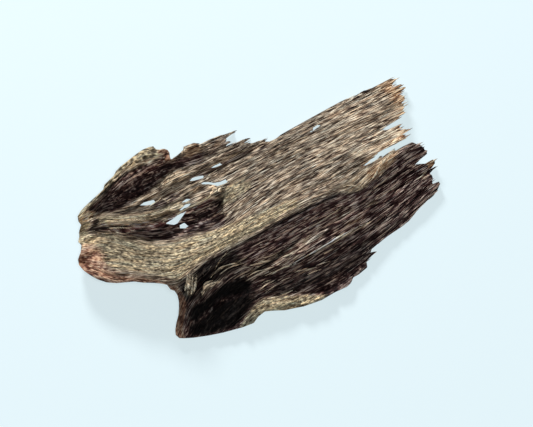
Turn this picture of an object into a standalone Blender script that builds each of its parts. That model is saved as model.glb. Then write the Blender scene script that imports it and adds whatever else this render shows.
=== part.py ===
# Agarwood piece: one torn sheet of wood, folded along its grain, lying hollow side down.
# Drawn values are millimetres. Each point is drawn as it is seen from above the near side,
# x along the grain and y across it, and then put along that line of sight at its height.
import math

import bmesh
import bpy
import numpy as np
from mathutils import Matrix

NAME = "agarwood_piece"
MM = 0.001

# The line of sight: how steeply it looks down, and how far the grain is turned from level in it
SIGHT_PITCH = math.radians(65)
GRAIN_TURN = math.radians(27)

# Grid of the sheet, and the reach of the prisms that cut it out
SHEET_X = (-70, 71)
SHEET_Y = (-42, 42)
CELL_ALONG = 3.3
CELL_ACROSS = 1.3
PRISM_REACH = 90
WELD = 0.01

# Thickness of the wood, and how far the underside follows the lumps of the top
THICKNESS = 3.5
THINNEST = 1.9
UNDERSIDE_FOLLOWS = 0.65

# The fold: two plates that fall from one ridge, as x, y and height along it
RIDGE = [
    (-68, 9.5, 10.5), (-57, 1.5, 13.5), (-48, -3.8, 15.5), (-40, -8.8, 17.5), (-34, -8.8, 18.0),
    (-22, -6.8, 17.5), (0, -6.5, 17.0), (20, -6.2, 16.0), (34, -7.0, 14.5), (45, -5.0, 13.0),
    (68, -4.0, 10.5),
]
RIDGE_SOFTNESS = 2.0
RIDGE_WEAR = 0.9
FAR_EDGE_Y = 22.0
FAR_EDGE_HEIGHT = 3.0
NEAR_EDGE = [
    (-50, -27.5), (-40, -31.5), (-25, -35.0), (5, -39.5), (17, -39.0), (30, -33.0), (46, -28.5), (66, -21.5),
]
NEAR_EDGE_HEIGHT = 3.0
STEEP_DROP = 0.40
STEEP_REACH = 0.24

# Shallow ridges along the grain: height, width from crest to crest, drift along the grain and start
GRAIN_RIDGES = [(0.30, 4.4, 0.020, 0.4), (0.26, 6.3, -0.035, 2.1), (0.22, 9.1, 0.015, 4.0)]

# Crests (rise above 0) and hollows (below 0) of the top: rise, sharpness of the sides,
# and the path as x, y and half width
RELIEF = {
    "lip": (7.0, 1, [(-62, 24.5, 1.2), (-58, 27.8, 1.6), (-50, 31.0, 1.5), (-44, 34.0, 1.8), (-38, 36.2, 2.6),
                     (-30, 37.2, 3.0), (-25.5, 36.8, 2.8)]),
    "lip_shoulder": (2.5, 1, [(-42, 32.5, 1.5), (-34, 33.0, 2.0), (-27, 33.5, 2.0)]),
    "lobe_step": (3.6, 1, [(-22.5, 35.0, 2.0), (-21.5, 32.5, 1.8)]),
    "red_lobe": (4.5, 1, [(-16, 32.0, 1.8), (-12.5, 32.5, 2.2), (-9.5, 31.0, 1.6)]),
    "splinter_sheet": (2.2, 1, [(-6, 29.0, 3.0), (2, 28.5, 3.0)]),
    "pale_tongue": (2.2, 2, [(-27, 24.6, 0.9), (-22.5, 24.8, 1.9), (-16, 24.0, 1.2), (-4, 23.6, 0.8),
                             (7, 22.8, 0.8)]),
    "upper_band": (1.7, 1, [(-43, 22.6, 0.6), (-35, 22.8, 0.8), (-27, 23.3, 1.0)]),
    "crest_band": (4.6, 1, [(-57, 24.6, 1.0), (-53.5, 23.6, 1.2), (-46, 19.4, 1.5), (-39, 16.6, 1.5)]),
    "crest_band_low": (3.3, 1, [(-38, 16.2, 1.4), (-31, 14.6, 1.2), (-20, 12.9, 0.8), (-11, 12.8, 1.2)]),
    "band_slope": (2.2, 1, [(-51, 22.0, 1.6), (-44, 20.0, 2.2), (-36, 18.2, 2.0), (-29, 17.4, 1.4)]),
    "left_meeting": (3.4, 1, [(-64, 20.0, 2.6), (-58.5, 20.6, 2.2)]),
    "slot_strip": (1.6, 1, [(-31, 18.0, 0.8), (-20, 17.5, 0.8), (-12, 19.0, 0.8)]),
    "end_wall": (1.7, 1, [(-9.5, 13.6, 1.0), (-10.3, 9.0, 0.9), (-12.2, 5.0, 0.8)]),
    "end_knobs": (1.5, 1, [(-14.5, 12.6, 0.8), (-11.0, 12.9, 1.3), (-8.2, 13.6, 1.0)]),
    "end_pit": (-2.2, 2, [(-65.6, 11.8, 1.3), (-65.2, 10.6, 1.1)]),
    "plate_crown": (1.6, 1, [(-14, -2.5, 6.0), (20, 3.0, 9.0), (45, 8.0, 8.0)]),
    "trough": (-1.4, 2, [(-53, 27.6, 1.5), (-44, 28.2, 3.6), (-35, 28.0, 3.8), (-27, 28.8, 2.6),
                         (-18, 27.8, 2.2), (-11, 27.0, 1.5)]),
    "cavity": (-6.0, 3, [(-57, 21.6, 0.5), (-50, 17.4, 1.3), (-44, 13.6, 2.4), (-36, 10.0, 4.0),
                         (-28, 8.0, 4.6), (-20, 6.9, 5.2), (-15.8, 6.6, 4.4)]),
    "under_ridge": (-3.2, 1, [(-30, -12.5, 1.8), (-20, -10.8, 2.4), (-4, -10.6, 2.4), (10, -10.6, 2.2),
                              (24, -11.2, 1.2)]),
    "knee_rib": (2.8, 1, [(-36.0, -15.2, 1.5), (-33.4, -9.8, 1.6)]),
    "knee_rib_end": (3.0, 1, [(-36.6, -15.6, 1.2), (-35.2, -13.6, 1.3)]),
    "shelf_blade": (3.4, 1, [(-32.0, -17.8, 0.8), (-29.0, -16.2, 1.2), (-25.2, -16.4, 0.7)]),
    "upper_blade": (1.8, 1, [(-27.0, -13.6, 0.6), (-22.0, -12.4, 0.8), (-14.0, -13.2, 0.5)]),
    "shelf": (2.0, 1, [(-6, -20.5, 1.6), (4, -19.5, 3.0), (16, -18.0, 3.4), (28, -16.0, 3.0),
                       (38, -12.0, 2.4)]),
    "shelf_notch": (-1.6, 1, [(-14, -19.2, 0.5), (-6, -18.7, 0.6), (0, -17.3, 0.7), (7, -15.4, 0.8)]),
    "lower_pit": (-2.2, 1, [(-35, -19.5, 1.8), (-27, -21.0, 2.4), (-18, -20.8, 1.8)]),
    "split_drop": (-1.4, 2, [(-4, -24.6, 1.2), (10, -24.0, 1.4), (24, -23.6, 1.5), (38, -23.8, 1.2)]),
    "hem": (1.5, 1, [(-23, -34.0, 0.9), (-17, -31.6, 1.3), (-10, -33.0, 1.8), (0, -36.6, 1.8),
                     (9, -38.2, 1.0)]),
    "hem_groove": (-1.2, 1, [(-24, -31.4, 1.0), (-15.5, -28.0, 1.0), (-7, -30.0, 1.2), (2, -34.2, 1.2),
                             (9, -36.4, 0.8)]),
    "dark_fold": (1.6, 1, [(38, -9.4, 1.6), (46, -7.2, 1.6), (56, -6.0, 2.4), (63, -7.0, 2.0)]),
    "fork_dip": (-1.6, 1, [(36, -4.6, 0.8), (46, -3.6, 1.0)]),
}

# The torn outline, clockwise as seen, stretch by stretch from the left end over the top
RAISED_LIP = [
    (-60.2, 24.6), (-60.5, 26.2), (-60.0, 28.1), (-58.0, 29.3), (-55.3, 30.3), (-49.0, 32.0), (-47.3, 32.5),
    (-46.2, 33.9), (-41.8, 35.2), (-40.3, 36.4), (-38.0, 37.2), (-34.0, 38.0), (-31.0, 38.7), (-28.0, 39.1),
    (-25.8, 38.9), (-24.2, 38.5), (-23.8, 37.0), (-22.8, 36.3), (-21.1, 35.9), (-20.2, 35.0), (-20.0, 33.8),
    (-20.7, 31.9), (-20.5, 31.1),
]
SPLINTERED_TOP = [
    (-18.8, 31.4), (-16.5, 31.8), (-15.0, 32.3), (-14.4, 33.3), (-10.5, 32.9), (-8.2, 31.4), (-5.0, 31.4),
    (-2.0, 31.1), (4.9, 30.1), (3.9, 29.6), (1.0, 28.9), (0.5, 28.3), (1.4, 27.7), (0.2, 26.6), (0.3, 25.9),
    (6.5, 25.9), (8.7, 25.1), (7.2, 24.8), (6.2, 24.5), (6.6, 23.8), (9.5, 23.0), (13.5, 22.1), (14.4, 20.8),
]
FAR_EDGE = [
    (17.0, 20.7), (20.0, 21.2), (30.0, 21.6), (44.5, 22.1), (48.0, 22.0), (49.3, 21.3), (52.5, 21.7),
    (56.5, 21.3),
]
PALE_TIPS = [
    (64.8, 21.4), (66.3, 20.3), (65.4, 19.3), (62.8, 18.3), (66.6, 17.8), (67.5, 17.2), (66.5, 16.9),
    (67.9, 16.2), (67.6, 15.5), (64.9, 14.7), (66.1, 14.1), (65.2, 13.2), (65.8, 12.3), (64.1, 11.5),
    (65.3, 10.7), (63.6, 9.6), (62.8, 8.7), (62.9, 7.5), (61.0, 7.1), (57.0, 6.6), (51.2, 5.7), (55.0, 4.9),
    (60.2, 4.7), (58.9, 3.1), (61.7, 1.6), (59.6, 1.0), (60.6, 0.3), (58.8, 0.1), (58.3, -0.8),
]
FORK_GAP = [
    (55.0, -1.0), (51.0, -0.8), (48.0, -0.9), (45.0, -1.6), (42.0, -2.3), (39.8, -2.9), (44.5, -3.3),
    (47.8, -2.3), (47.9, -3.3), (50.0, -2.7), (53.3, -2.3), (53.4, -3.2),
]
DARK_TIPS = [
    (56.5, -3.0), (60.4, -3.1), (61.4, -3.9), (63.1, -5.7), (63.5, -7.3), (64.3, -8.7), (63.6, -9.4),
    (60.0, -10.2), (57.3, -11.1), (59.3, -11.4), (61.3, -12.3), (64.7, -12.2), (65.0, -12.9), (64.6, -13.8),
    (62.4, -15.0), (64.8, -14.9), (61.3, -16.3), (61.5, -18.5), (60.1, -20.1), (63.0, -20.4), (62.4, -21.6),
    (60.7, -23.2),
]
NEAR_SIDE = [
    (58.0, -24.0), (52.0, -25.8), (49.5, -27.0), (46.5, -28.2), (43.5, -28.8), (36.0, -29.7), (30.0, -31.0),
    (28.9, -32.0), (31.2, -32.7), (28.5, -33.3), (26.2, -34.2), (25.2, -36.2), (21.5, -37.0), (19.0, -37.1),
    (17.2, -38.5), (15.5, -39.0), (10.0, -38.8), (5.0, -39.1), (-1.5, -38.2), (-5.0, -37.2), (-8.5, -36.3),
    (-12.0, -34.6), (-15.0, -33.4), (-18.0, -34.0), (-20.5, -35.3), (-25.0, -34.8), (-32.0, -33.3),
    (-37.0, -31.9), (-42.0, -30.2), (-45.0, -28.9),
]
ARCH = [
    (-46.8, -27.9), (-47.4, -26.3), (-46.8, -24.7), (-45.4, -22.7), (-43.4, -20.5), (-42.0, -18.2),
    (-41.0, -16.2), (-40.4, -14.0), (-40.5, -12.0), (-41.6, -10.9), (-41.9, -8.8), (-43.5, -7.5),
    (-46.0, -6.0), (-49.0, -4.4), (-52.0, -2.4), (-55.0, -1.2), (-58.0, 0.0), (-61.0, 1.8), (-63.6, 4.4),
    (-65.2, 6.8),
]
LEFT_END = [
    (-66.6, 9.4), (-67.3, 12.0), (-66.8, 13.9), (-64.6, 16.0), (-63.4, 18.0), (-63.9, 19.6), (-62.7, 21.2),
    (-62.2, 22.6),
]
FAR_SIDE = RAISED_LIP + SPLINTERED_TOP + FAR_EDGE
OUTLINE = FAR_SIDE + PALE_TIPS + FORK_GAP + DARK_TIPS + NEAR_SIDE + ARCH + LEFT_END

# Slots that go right through the sheet
SLOTS = {
    "lip_slot": [(-38.1, 21.3), (-36.4, 21.6), (-33.0, 20.8), (-32.8, 20.1), (-33.5, 19.5), (-36.0, 20.4)],
    "middle_slot": [(-18.0, 21.0), (-16.6, 21.6), (-14.5, 21.1), (-12.7, 20.7), (-13.3, 19.9), (-16.5, 20.6)],
    "far_slot": [(-8.8, 21.7), (-6.5, 22.1), (-4.6, 21.9), (-4.7, 21.2), (-7.0, 21.4)],
    "long_tear": [(-14.9, 18.1), (-14.0, 18.5), (-11.9, 17.5), (-10.4, 16.4), (-8.6, 15.9), (-6.4, 15.8),
                  (-5.1, 14.8), (-6.2, 14.4), (-9.8, 14.9), (-12.0, 16.6)],
    "small_slot": [(-24.1, 15.3), (-22.2, 15.7), (-20.7, 15.0), (-22.4, 14.9)],
    "crest_slot": [(-26.1, 13.3), (-23.4, 14.0), (-21.4, 13.4), (-22.5, 13.0), (-25.0, 12.9)],
    "cavity_gap": [(-32.8, 11.1), (-28.8, 11.5), (-27.0, 12.1), (-25.8, 11.6), (-24.1, 11.8), (-26.6, 10.7),
                   (-28.8, 9.4), (-30.2, 9.5)],
    "cavity_eye": [(-28.8, 7.4), (-28.4, 8.2), (-26.8, 8.3), (-26.0, 6.7), (-27.4, 6.5)],
    "edge_pinhole": [(30.1, 17.2), (32.7, 18.1), (32.6, 17.5), (31.4, 17.1)],
}


def remove_everything():
    for thing in list(bpy.data.objects):
        bpy.data.objects.remove(thing)


def new_collection(name):
    collection = bpy.data.collections.new(name)
    bpy.context.scene.collection.children.link(collection)
    return collection


def weathered_wood():
    material = bpy.data.materials.new("weathered_wood")
    material.use_nodes = True
    shader = material.node_tree.nodes["Principled BSDF"]
    shader.inputs["Base Color"].default_value = (0.20, 0.15, 0.10, 1)
    shader.inputs["Roughness"].default_value = 0.85
    shader.inputs["Metallic"].default_value = 0.0
    return material


def smooth_step(start, end, value):
    share = np.clip((value - start) / (end - start), 0, 1)
    return share * share * (3 - 2 * share)


def curve_through(x, points_x, points_y):
    # Cubic curve through the points, with each point's slope taken from its neighbours
    slope = np.gradient(points_y, points_x)
    i = np.clip(np.searchsorted(points_x, x) - 1, 0, len(points_x) - 2)
    width = points_x[i + 1] - points_x[i]
    t = np.clip((x - points_x[i]) / width, 0, 1)
    start = (2 * t**3 - 3 * t**2 + 1) * points_y[i] + (t**3 - 2 * t**2 + t) * width * slope[i]
    end = (3 * t**2 - 2 * t**3) * points_y[i + 1] + (t**3 - t**2) * width * slope[i + 1]
    return start + end


def swell(x, y, sharpness, path):
    # 1 on the path, falling off across its half width, which changes evenly from point to point
    height = np.zeros_like(x)
    for (x0, y0, half0), (x1, y1, half1) in zip(path[:-1], path[1:]):
        run_x, run_y = x1 - x0, y1 - y0
        t = np.clip(((x - x0) * run_x + (y - y0) * run_y) / (run_x**2 + run_y**2), 0, 1)
        distance = np.hypot(x - x0 - t * run_x, y - y0 - t * run_y) / (half0 + t * (half1 - half0))
        height = np.maximum(height, 1 / (1 + 0.8 * distance ** (2 * sharpness + 1)))
    return height


def fold_height(x, y):
    # Two plates: the far one falls evenly from the ridge, the near one drops first and then eases
    ridge_x, ridge_y, ridge_z = np.array(RIDGE, float).T
    near_x, near_y = np.array(NEAR_EDGE, float).T
    at_ridge = curve_through(x, ridge_x, ridge_y)
    top = curve_through(x, ridge_x, ridge_z)
    far_share = (y - at_ridge) / (FAR_EDGE_Y - at_ridge)
    near_share = (at_ridge - y) / (at_ridge - curve_through(x, near_x, near_y))
    far_plate = FAR_EDGE_HEIGHT + (top - FAR_EDGE_HEIGHT) * np.maximum(1 - far_share, 0)
    fall = STEEP_DROP * smooth_step(0, STEEP_REACH, near_share) + (1 - STEEP_DROP) * near_share
    near_plate = NEAR_EDGE_HEIGHT + (top - NEAR_EDGE_HEIGHT) * np.maximum(1 - fall, 0)
    wear = RIDGE_WEAR * np.exp(-((y - at_ridge) / RIDGE_SOFTNESS) ** 2)
    return np.where(far_share > 0, far_plate, near_plate) - wear


def grain_ridges(x, y):
    waves = [rise * np.sin(2 * np.pi * (y + drift * x) / width + start)
             for rise, width, drift, start in GRAIN_RIDGES]
    return sum(waves)


def sheet_heights(x, y):
    # Heights of the top and of the underside, which follows the top less and never reaches below 0
    fold = fold_height(x, y)
    relief = grain_ridges(x, y)
    relief += sum(rise * swell(x, y, sharpness, path) for rise, sharpness, path in RELIEF.values())
    top = np.maximum(fold + relief, THINNEST)
    under = np.minimum(fold + UNDERSIDE_FOLLOWS * relief - THICKNESS, top - THINNEST)
    return top, np.maximum(under, 0)


def sight_frame():
    # Turns x along the grain, y across it and z towards the eye into the piece's own frame,
    # whose X lies along the grain on the surface that the piece rests on
    heading = math.atan2(math.tan(GRAIN_TURN), math.sin(SIGHT_PITCH))
    level = Matrix.Rotation(math.pi / 2 - SIGHT_PITCH, 4, "X") @ Matrix.Rotation(GRAIN_TURN, 4, "Z")
    return Matrix.Rotation(-heading, 4, "Z") @ level


def depth_for(x, y, height):
    # How far along the line of sight a drawn point lies, to be at its height
    up = sight_frame()[2]
    return (height - up[0] * x - up[1] * y) / up[2]


def sheet_slab():
    # A grid, extruded into a slab whose two sides are the top and the underside
    size_x, size_y = SHEET_X[1] - SHEET_X[0], SHEET_Y[1] - SHEET_Y[0]
    cells_x, cells_y = round(size_x / CELL_ALONG), round(size_y / CELL_ACROSS)
    body = bmesh.new()
    bmesh.ops.create_grid(body, x_segments=cells_x, y_segments=cells_y, size=0.5)
    below = bmesh.ops.extrude_face_region(body, geom=body.faces[:])
    for vertex in below["geom"]:
        if isinstance(vertex, bmesh.types.BMVert):
            vertex.co.z = -1
    points = np.array([vertex.co[:] for vertex in body.verts])
    x = SHEET_X[0] + size_x * (points[:, 0] + 0.5)
    y = SHEET_Y[0] + size_y * (points[:, 1] + 0.5)
    top, under = sheet_heights(x, y)
    depth = depth_for(x, y, np.where(points[:, 2] < -0.5, under, top))
    for vertex, place in zip(body.verts, np.stack([x, y, depth], 1) * MM):
        vertex.co = place
    bmesh.ops.transform(body, matrix=sight_frame(), verts=body.verts[:])
    bmesh.ops.triangulate(body, faces=body.faces[:], quad_method="SHORT_EDGE")
    bmesh.ops.recalc_face_normals(body, faces=body.faces[:])
    mesh = bpy.data.meshes.new(NAME)
    body.to_mesh(mesh)
    body.free()
    return mesh


def sight_prism(name, loops, collection):
    # An outline and the loops inside it as one prism along the line of sight, to cut the sheet with
    curve = bpy.data.curves.new(name, "CURVE")
    curve.dimensions = "2D"
    curve.fill_mode = "BOTH"
    curve.extrude = PRISM_REACH * MM
    for loop in loops:
        spline = curve.splines.new("POLY")
        spline.points.add(len(loop) - 1)
        for point, (x, y) in zip(spline.points, loop):
            point.co = (x * MM, y * MM, 0, 1)
        spline.use_cyclic_u = True
    drawn = bpy.data.objects.new(name + "_outline", curve)
    drawn.matrix_world = sight_frame()
    collection.objects.link(drawn)
    bpy.context.view_layer.update()

    evaluated = drawn.evaluated_get(bpy.context.evaluated_depsgraph_get())
    mesh = bpy.data.meshes.new_from_object(evaluated)
    body = bmesh.new()
    body.from_mesh(mesh)
    bmesh.ops.remove_doubles(body, verts=body.verts[:], dist=WELD * MM)
    bmesh.ops.recalc_face_normals(body, faces=body.faces[:])
    body.to_mesh(mesh)
    body.free()
    prism = bpy.data.objects.new(name, mesh)
    prism.matrix_world = drawn.matrix_world
    prism.hide_render = True
    prism.display_type = "WIRE"
    collection.objects.link(prism)
    bpy.data.objects.remove(drawn)
    return prism


def onto_origin(piece):
    # The move that puts the bottom middle of the piece's box at the origin
    bpy.context.view_layer.update()
    evaluated = piece.evaluated_get(bpy.context.evaluated_depsgraph_get())
    corners = np.array([corner[:] for corner in evaluated.bound_box])
    middle = (corners.min(axis=0) + corners.max(axis=0)) / 2
    return Matrix.Translation((-middle[0], -middle[1], -corners[:, 2].min()))


def main():
    remove_everything()
    parts = new_collection(NAME)
    cutters = new_collection("cutters")

    piece = bpy.data.objects.new(NAME, sheet_slab())
    piece.data.materials.append(weathered_wood())
    parts.objects.link(piece)
    prism = sight_prism("torn_outline", [OUTLINE] + list(SLOTS.values()), cutters)
    tear = piece.modifiers.new("tear", "BOOLEAN")
    tear.operation = "INTERSECT"
    tear.solver = "EXACT"
    tear.object = prism

    move = onto_origin(piece)
    for thing in (piece, prism):
        thing.matrix_world = move @ thing.matrix_world


main()
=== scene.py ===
import math

import bpy
import numpy as np
from mathutils import Matrix, Vector


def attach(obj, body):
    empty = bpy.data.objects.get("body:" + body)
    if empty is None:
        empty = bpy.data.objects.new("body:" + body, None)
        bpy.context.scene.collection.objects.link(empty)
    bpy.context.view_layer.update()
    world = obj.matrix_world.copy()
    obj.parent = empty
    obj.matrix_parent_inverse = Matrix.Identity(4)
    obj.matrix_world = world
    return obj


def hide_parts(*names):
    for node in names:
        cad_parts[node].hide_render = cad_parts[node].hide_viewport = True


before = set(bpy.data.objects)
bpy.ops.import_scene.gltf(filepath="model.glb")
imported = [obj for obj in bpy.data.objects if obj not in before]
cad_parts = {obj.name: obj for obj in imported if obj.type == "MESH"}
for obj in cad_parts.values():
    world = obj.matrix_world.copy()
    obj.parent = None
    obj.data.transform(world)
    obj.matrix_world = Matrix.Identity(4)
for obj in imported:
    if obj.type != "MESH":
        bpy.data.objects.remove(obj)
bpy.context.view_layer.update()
mm = 0.001

sight = {
    "pitch": math.radians(65),  # how steeply the line of sight looks down
    "grainTurn": math.radians(27),  # how far the grain is turned from level in it
    "solidMove": (-0.40, 1.43, 0.0),  # from the drawn values' own origin to the solid's
}
# The view's heading is turned about z until the grain lies along the solid's x
heading = math.atan2(math.tan(sight["grainTurn"]), math.sin(sight["pitch"]))
toHeading = Matrix.Rotation(-heading, 4, "Z")
toPitch = Matrix.Rotation(math.pi / 2 - sight["pitch"], 4, "X")

sheet = {
    "xRange": (-68.6, 69.2),
    "cellAlong": 0.45,
    "cellAcross": 0.27,
    "thickness": 3.5,
    "thinnest": 1.9,
    "lowestTop": 0.7,
    "leastLeft": 0.6,  # thickness that the finest grooves leave
    "undersideFollows": 0.65,  # share of the top's relief that the underside follows
    "snapReach": 0.75,  # how far the cells' corners move to meet the outline
    "rimRows": 3,
    "rimWear": 0.45,
    "rimBand": 0.1,  # width of a rim row on the map for baking
    "ragged": 0.8,  # how unevenly the fibres end
    "slotWear": (0.15, 0.12),  # how far the slots are worn back, along the grain and across it
}

# The fold's ridge as x, y and height, and the edges that its two plates fall to
fold = {
    "ridge": [(-68, 9.5, 10.5), (-57, 1.5, 13.5), (-48, -3.8, 15.5), (-40, -8.8, 17.5), (-34, -8.8, 18.0),
              (-22, -6.8, 17.5), (0, -6.5, 17.0), (20, -6.2, 16.0), (34, -7.0, 14.5), (45, -5.0, 13.0),
              (68, -4.0, 10.5)],
    "ridgeSoftness": 2.0,
    "ridgeWear": 0.9,
    "farEdgeY": 22.0,
    "farEdgeHeight": 3.0,
    "nearEdge": [(-50, -27.5), (-40, -31.5), (-25, -35.0), (5, -39.5), (17, -39.0), (30, -33.0), (46, -28.5),
                 (66, -21.5)],
    "nearEdgeHeight": 3.0,
    "steepDrop": 0.40,
    "steepReach": 0.24,
    # height, width from crest to crest, drift along the grain and start
    "grainRidges": [(0.30, 4.4, 0.020, 0.4), (0.26, 6.3, -0.035, 2.1), (0.22, 9.1, 0.015, 4.0)],
}

# Crests (above 0) and hollows (below 0): rise, sharpness of the sides, path as x, y and half width
relief = {
    "lip": (7.0, 1, [(-62, 24.5, 1.2), (-58, 27.8, 1.6), (-50, 31.0, 1.5), (-44, 34.0, 1.8), (-38, 36.2, 2.6),
                     (-30, 37.2, 3.0), (-25.5, 36.8, 2.8)]),
    "lipShoulder": (2.5, 1, [(-42, 32.5, 1.5), (-34, 33.0, 2.0), (-27, 33.5, 2.0)]),
    "lobeStep": (3.6, 1, [(-22.5, 35.0, 2.0), (-21.5, 32.5, 1.8)]),
    "redLobe": (4.5, 1, [(-16, 32.0, 1.8), (-12.5, 32.5, 2.2), (-9.5, 31.0, 1.6)]),
    "splinterSheet": (2.2, 1, [(-6, 29.0, 3.0), (2, 28.5, 3.0)]),
    "paleTongue": (2.2, 2, [(-27, 24.6, 0.9), (-22.5, 24.8, 1.9), (-16, 24.0, 1.2), (-4, 23.6, 0.8),
                            (7, 22.8, 0.8)]),
    "upperBand": (1.7, 1, [(-43, 22.6, 0.6), (-35, 22.8, 0.8), (-27, 23.3, 1.0)]),
    "crestBand": (4.6, 1, [(-57, 24.6, 1.0), (-53.5, 23.6, 1.2), (-46, 19.4, 1.5), (-39, 16.6, 1.5)]),
    "crestBandLow": (3.3, 1, [(-38, 16.2, 1.4), (-31, 14.6, 1.2), (-20, 12.9, 0.8), (-11, 12.8, 1.2)]),
    "bandSlope": (2.2, 1, [(-51, 22.0, 1.6), (-44, 20.0, 2.2), (-36, 18.2, 2.0), (-29, 17.4, 1.4)]),
    "leftMeeting": (3.4, 1, [(-64, 20.0, 2.6), (-58.5, 20.6, 2.2)]),
    "slotStrip": (1.6, 1, [(-31, 18.0, 0.8), (-20, 17.5, 0.8), (-12, 19.0, 0.8)]),
    "endWall": (1.7, 1, [(-9.5, 13.6, 1.0), (-10.3, 9.0, 0.9), (-12.2, 5.0, 0.8)]),
    "endKnobs": (1.5, 1, [(-14.5, 12.6, 0.8), (-11.0, 12.9, 1.3), (-8.2, 13.6, 1.0)]),
    "endPit": (-2.2, 2, [(-65.6, 11.8, 1.3), (-65.2, 10.6, 1.1)]),
    "plateCrown": (1.6, 1, [(-14, -2.5, 6.0), (20, 3.0, 9.0), (45, 8.0, 8.0)]),
    "trough": (-1.4, 2, [(-53, 27.6, 1.5), (-44, 28.2, 3.6), (-35, 28.0, 3.8), (-27, 28.8, 2.6),
                         (-18, 27.8, 2.2), (-11, 27.0, 1.5)]),
    "cavity": (-6.0, 3, [(-57, 21.6, 0.5), (-50, 17.4, 1.3), (-44, 13.6, 2.4), (-36, 10.0, 4.0),
                         (-28, 8.0, 4.6), (-20, 6.9, 5.2), (-15.8, 6.6, 4.4)]),
    "underRidge": (-3.2, 1, [(-30, -12.5, 1.8), (-20, -10.8, 2.4), (-4, -10.6, 2.4), (10, -10.6, 2.2),
                             (24, -11.2, 1.2)]),
    "kneeRib": (2.8, 1, [(-36.0, -15.2, 1.5), (-33.4, -9.8, 1.6)]),
    "kneeRibEnd": (3.0, 1, [(-36.6, -15.6, 1.2), (-35.2, -13.6, 1.3)]),
    "shelfBlade": (3.4, 1, [(-32.0, -17.8, 0.8), (-29.0, -16.2, 1.2), (-25.2, -16.4, 0.7)]),
    "upperBlade": (1.8, 1, [(-27.0, -13.6, 0.6), (-22.0, -12.4, 0.8), (-14.0, -13.2, 0.5)]),
    "shelf": (2.0, 1, [(-6, -20.5, 1.6), (4, -19.5, 3.0), (16, -18.0, 3.4), (28, -16.0, 3.0),
                       (38, -12.0, 2.4)]),
    "shelfNotch": (-1.6, 1, [(-14, -19.2, 0.5), (-6, -18.7, 0.6), (0, -17.3, 0.7), (7, -15.4, 0.8)]),
    "lowerPit": (-2.2, 1, [(-35, -19.5, 1.8), (-27, -21.0, 2.4), (-18, -20.8, 1.8)]),
    "splitDrop": (-1.4, 2, [(-4, -24.6, 1.2), (10, -24.0, 1.4), (24, -23.6, 1.5), (38, -23.8, 1.2)]),
    "hem": (1.5, 1, [(-23, -34.0, 0.9), (-17, -31.6, 1.3), (-10, -33.0, 1.8), (0, -36.6, 1.8),
                     (9, -38.2, 1.0)]),
    "hemGroove": (-1.2, 1, [(-24, -31.4, 1.0), (-15.5, -28.0, 1.0), (-7, -30.0, 1.2), (2, -34.2, 1.2),
                            (9, -36.4, 0.8)]),
    "darkFold": (1.6, 1, [(38, -9.4, 1.6), (46, -7.2, 1.6), (56, -6.0, 2.4), (63, -7.0, 2.0)]),
    "forkDip": (-1.6, 1, [(36, -4.6, 0.8), (46, -3.6, 1.0)]),
}

# Narrow splits of the surface: depth, half width and path as x, y
cracks = {
    "forkCrack": (1.6, 0.30, [(28, -1.0), (31, -0.2), (36, 0.8)]),
    "forkCrackLower": (1.6, 0.30, [(29, -1.7), (33, -1.2), (37, -1.3), (41, -2.6)]),
    "forkCrackEnd": (1.3, 0.25, [(33, -2.7), (37, -2.2)]),
    "tongueCrack": (1.5, 0.28, [(57, 13.0), (60, 13.3), (64, 13.2)]),
    "tongueCrackLong": (1.3, 0.25, [(47.5, 9.8), (51, 10.1), (55, 10.5)]),
    "edgeCrack": (1.2, 0.30, [(13.5, 18.0), (17.5, 18.2)]),
    "middleCrack": (1.3, 0.28, [(2, 15.0), (7, 14.4), (12, 15.0)]),
    "ridgeCrack": (1.3, 0.35, [(-15, -7.7), (-6, -7.5), (4, -7.1), (16, -7.0), (29, -8.2)]),
    "ribCrackOne": (1.6, 0.45, [(-60, 20.6), (-55, 19.6), (-50, 17.4), (-45, 14.4)]),
    "ribCrackTwo": (1.6, 0.40, [(-58, 21.8), (-53, 20.4), (-48, 17.6), (-43, 14.8)]),
    "crestCrack": (1.2, 0.35, [(-46, 17.2), (-41, 15.0), (-36, 13.9), (-30, 13.6)]),
    "bandCrack": (1.2, 0.30, [(-34, 19.4), (-28, 19.8), (-22, 19.2)]),
    "flankCrack": (1.8, 0.45, [(-14, -19.4), (-6, -18.8), (0, -17.4), (8, -15.2)]),
    "flankCrackLong": (1.6, 0.40, [(10, -13.8), (20, -13.6), (30, -12.4), (38, -10.4)]),
    "flankCrackLow": (1.6, 0.40, [(-4, -26.4), (8, -26.8), (20, -26.0), (34, -25.6)]),
    "darkTongueCrack": (1.6, 0.40, [(38, -12.6), (46, -11.6), (57.3, -11.1)]),
    "lowTongueCrack": (1.4, 0.35, [(44, -15.6), (52, -15.4), (62.0, -15.1)]),
    "kneeCrackOne": (1.8, 0.40, [(-38.5, -14.0), (-35, -11.4), (-31.6, -9.4)]),
    "kneeCrackTwo": (1.8, 0.40, [(-36.8, -17.2), (-32, -13.6), (-27.6, -10.0)]),
    "kneeCrackThree": (1.6, 0.40, [(-34.5, -19.0), (-28, -14.4), (-21.0, -10.4)]),
}

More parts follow.
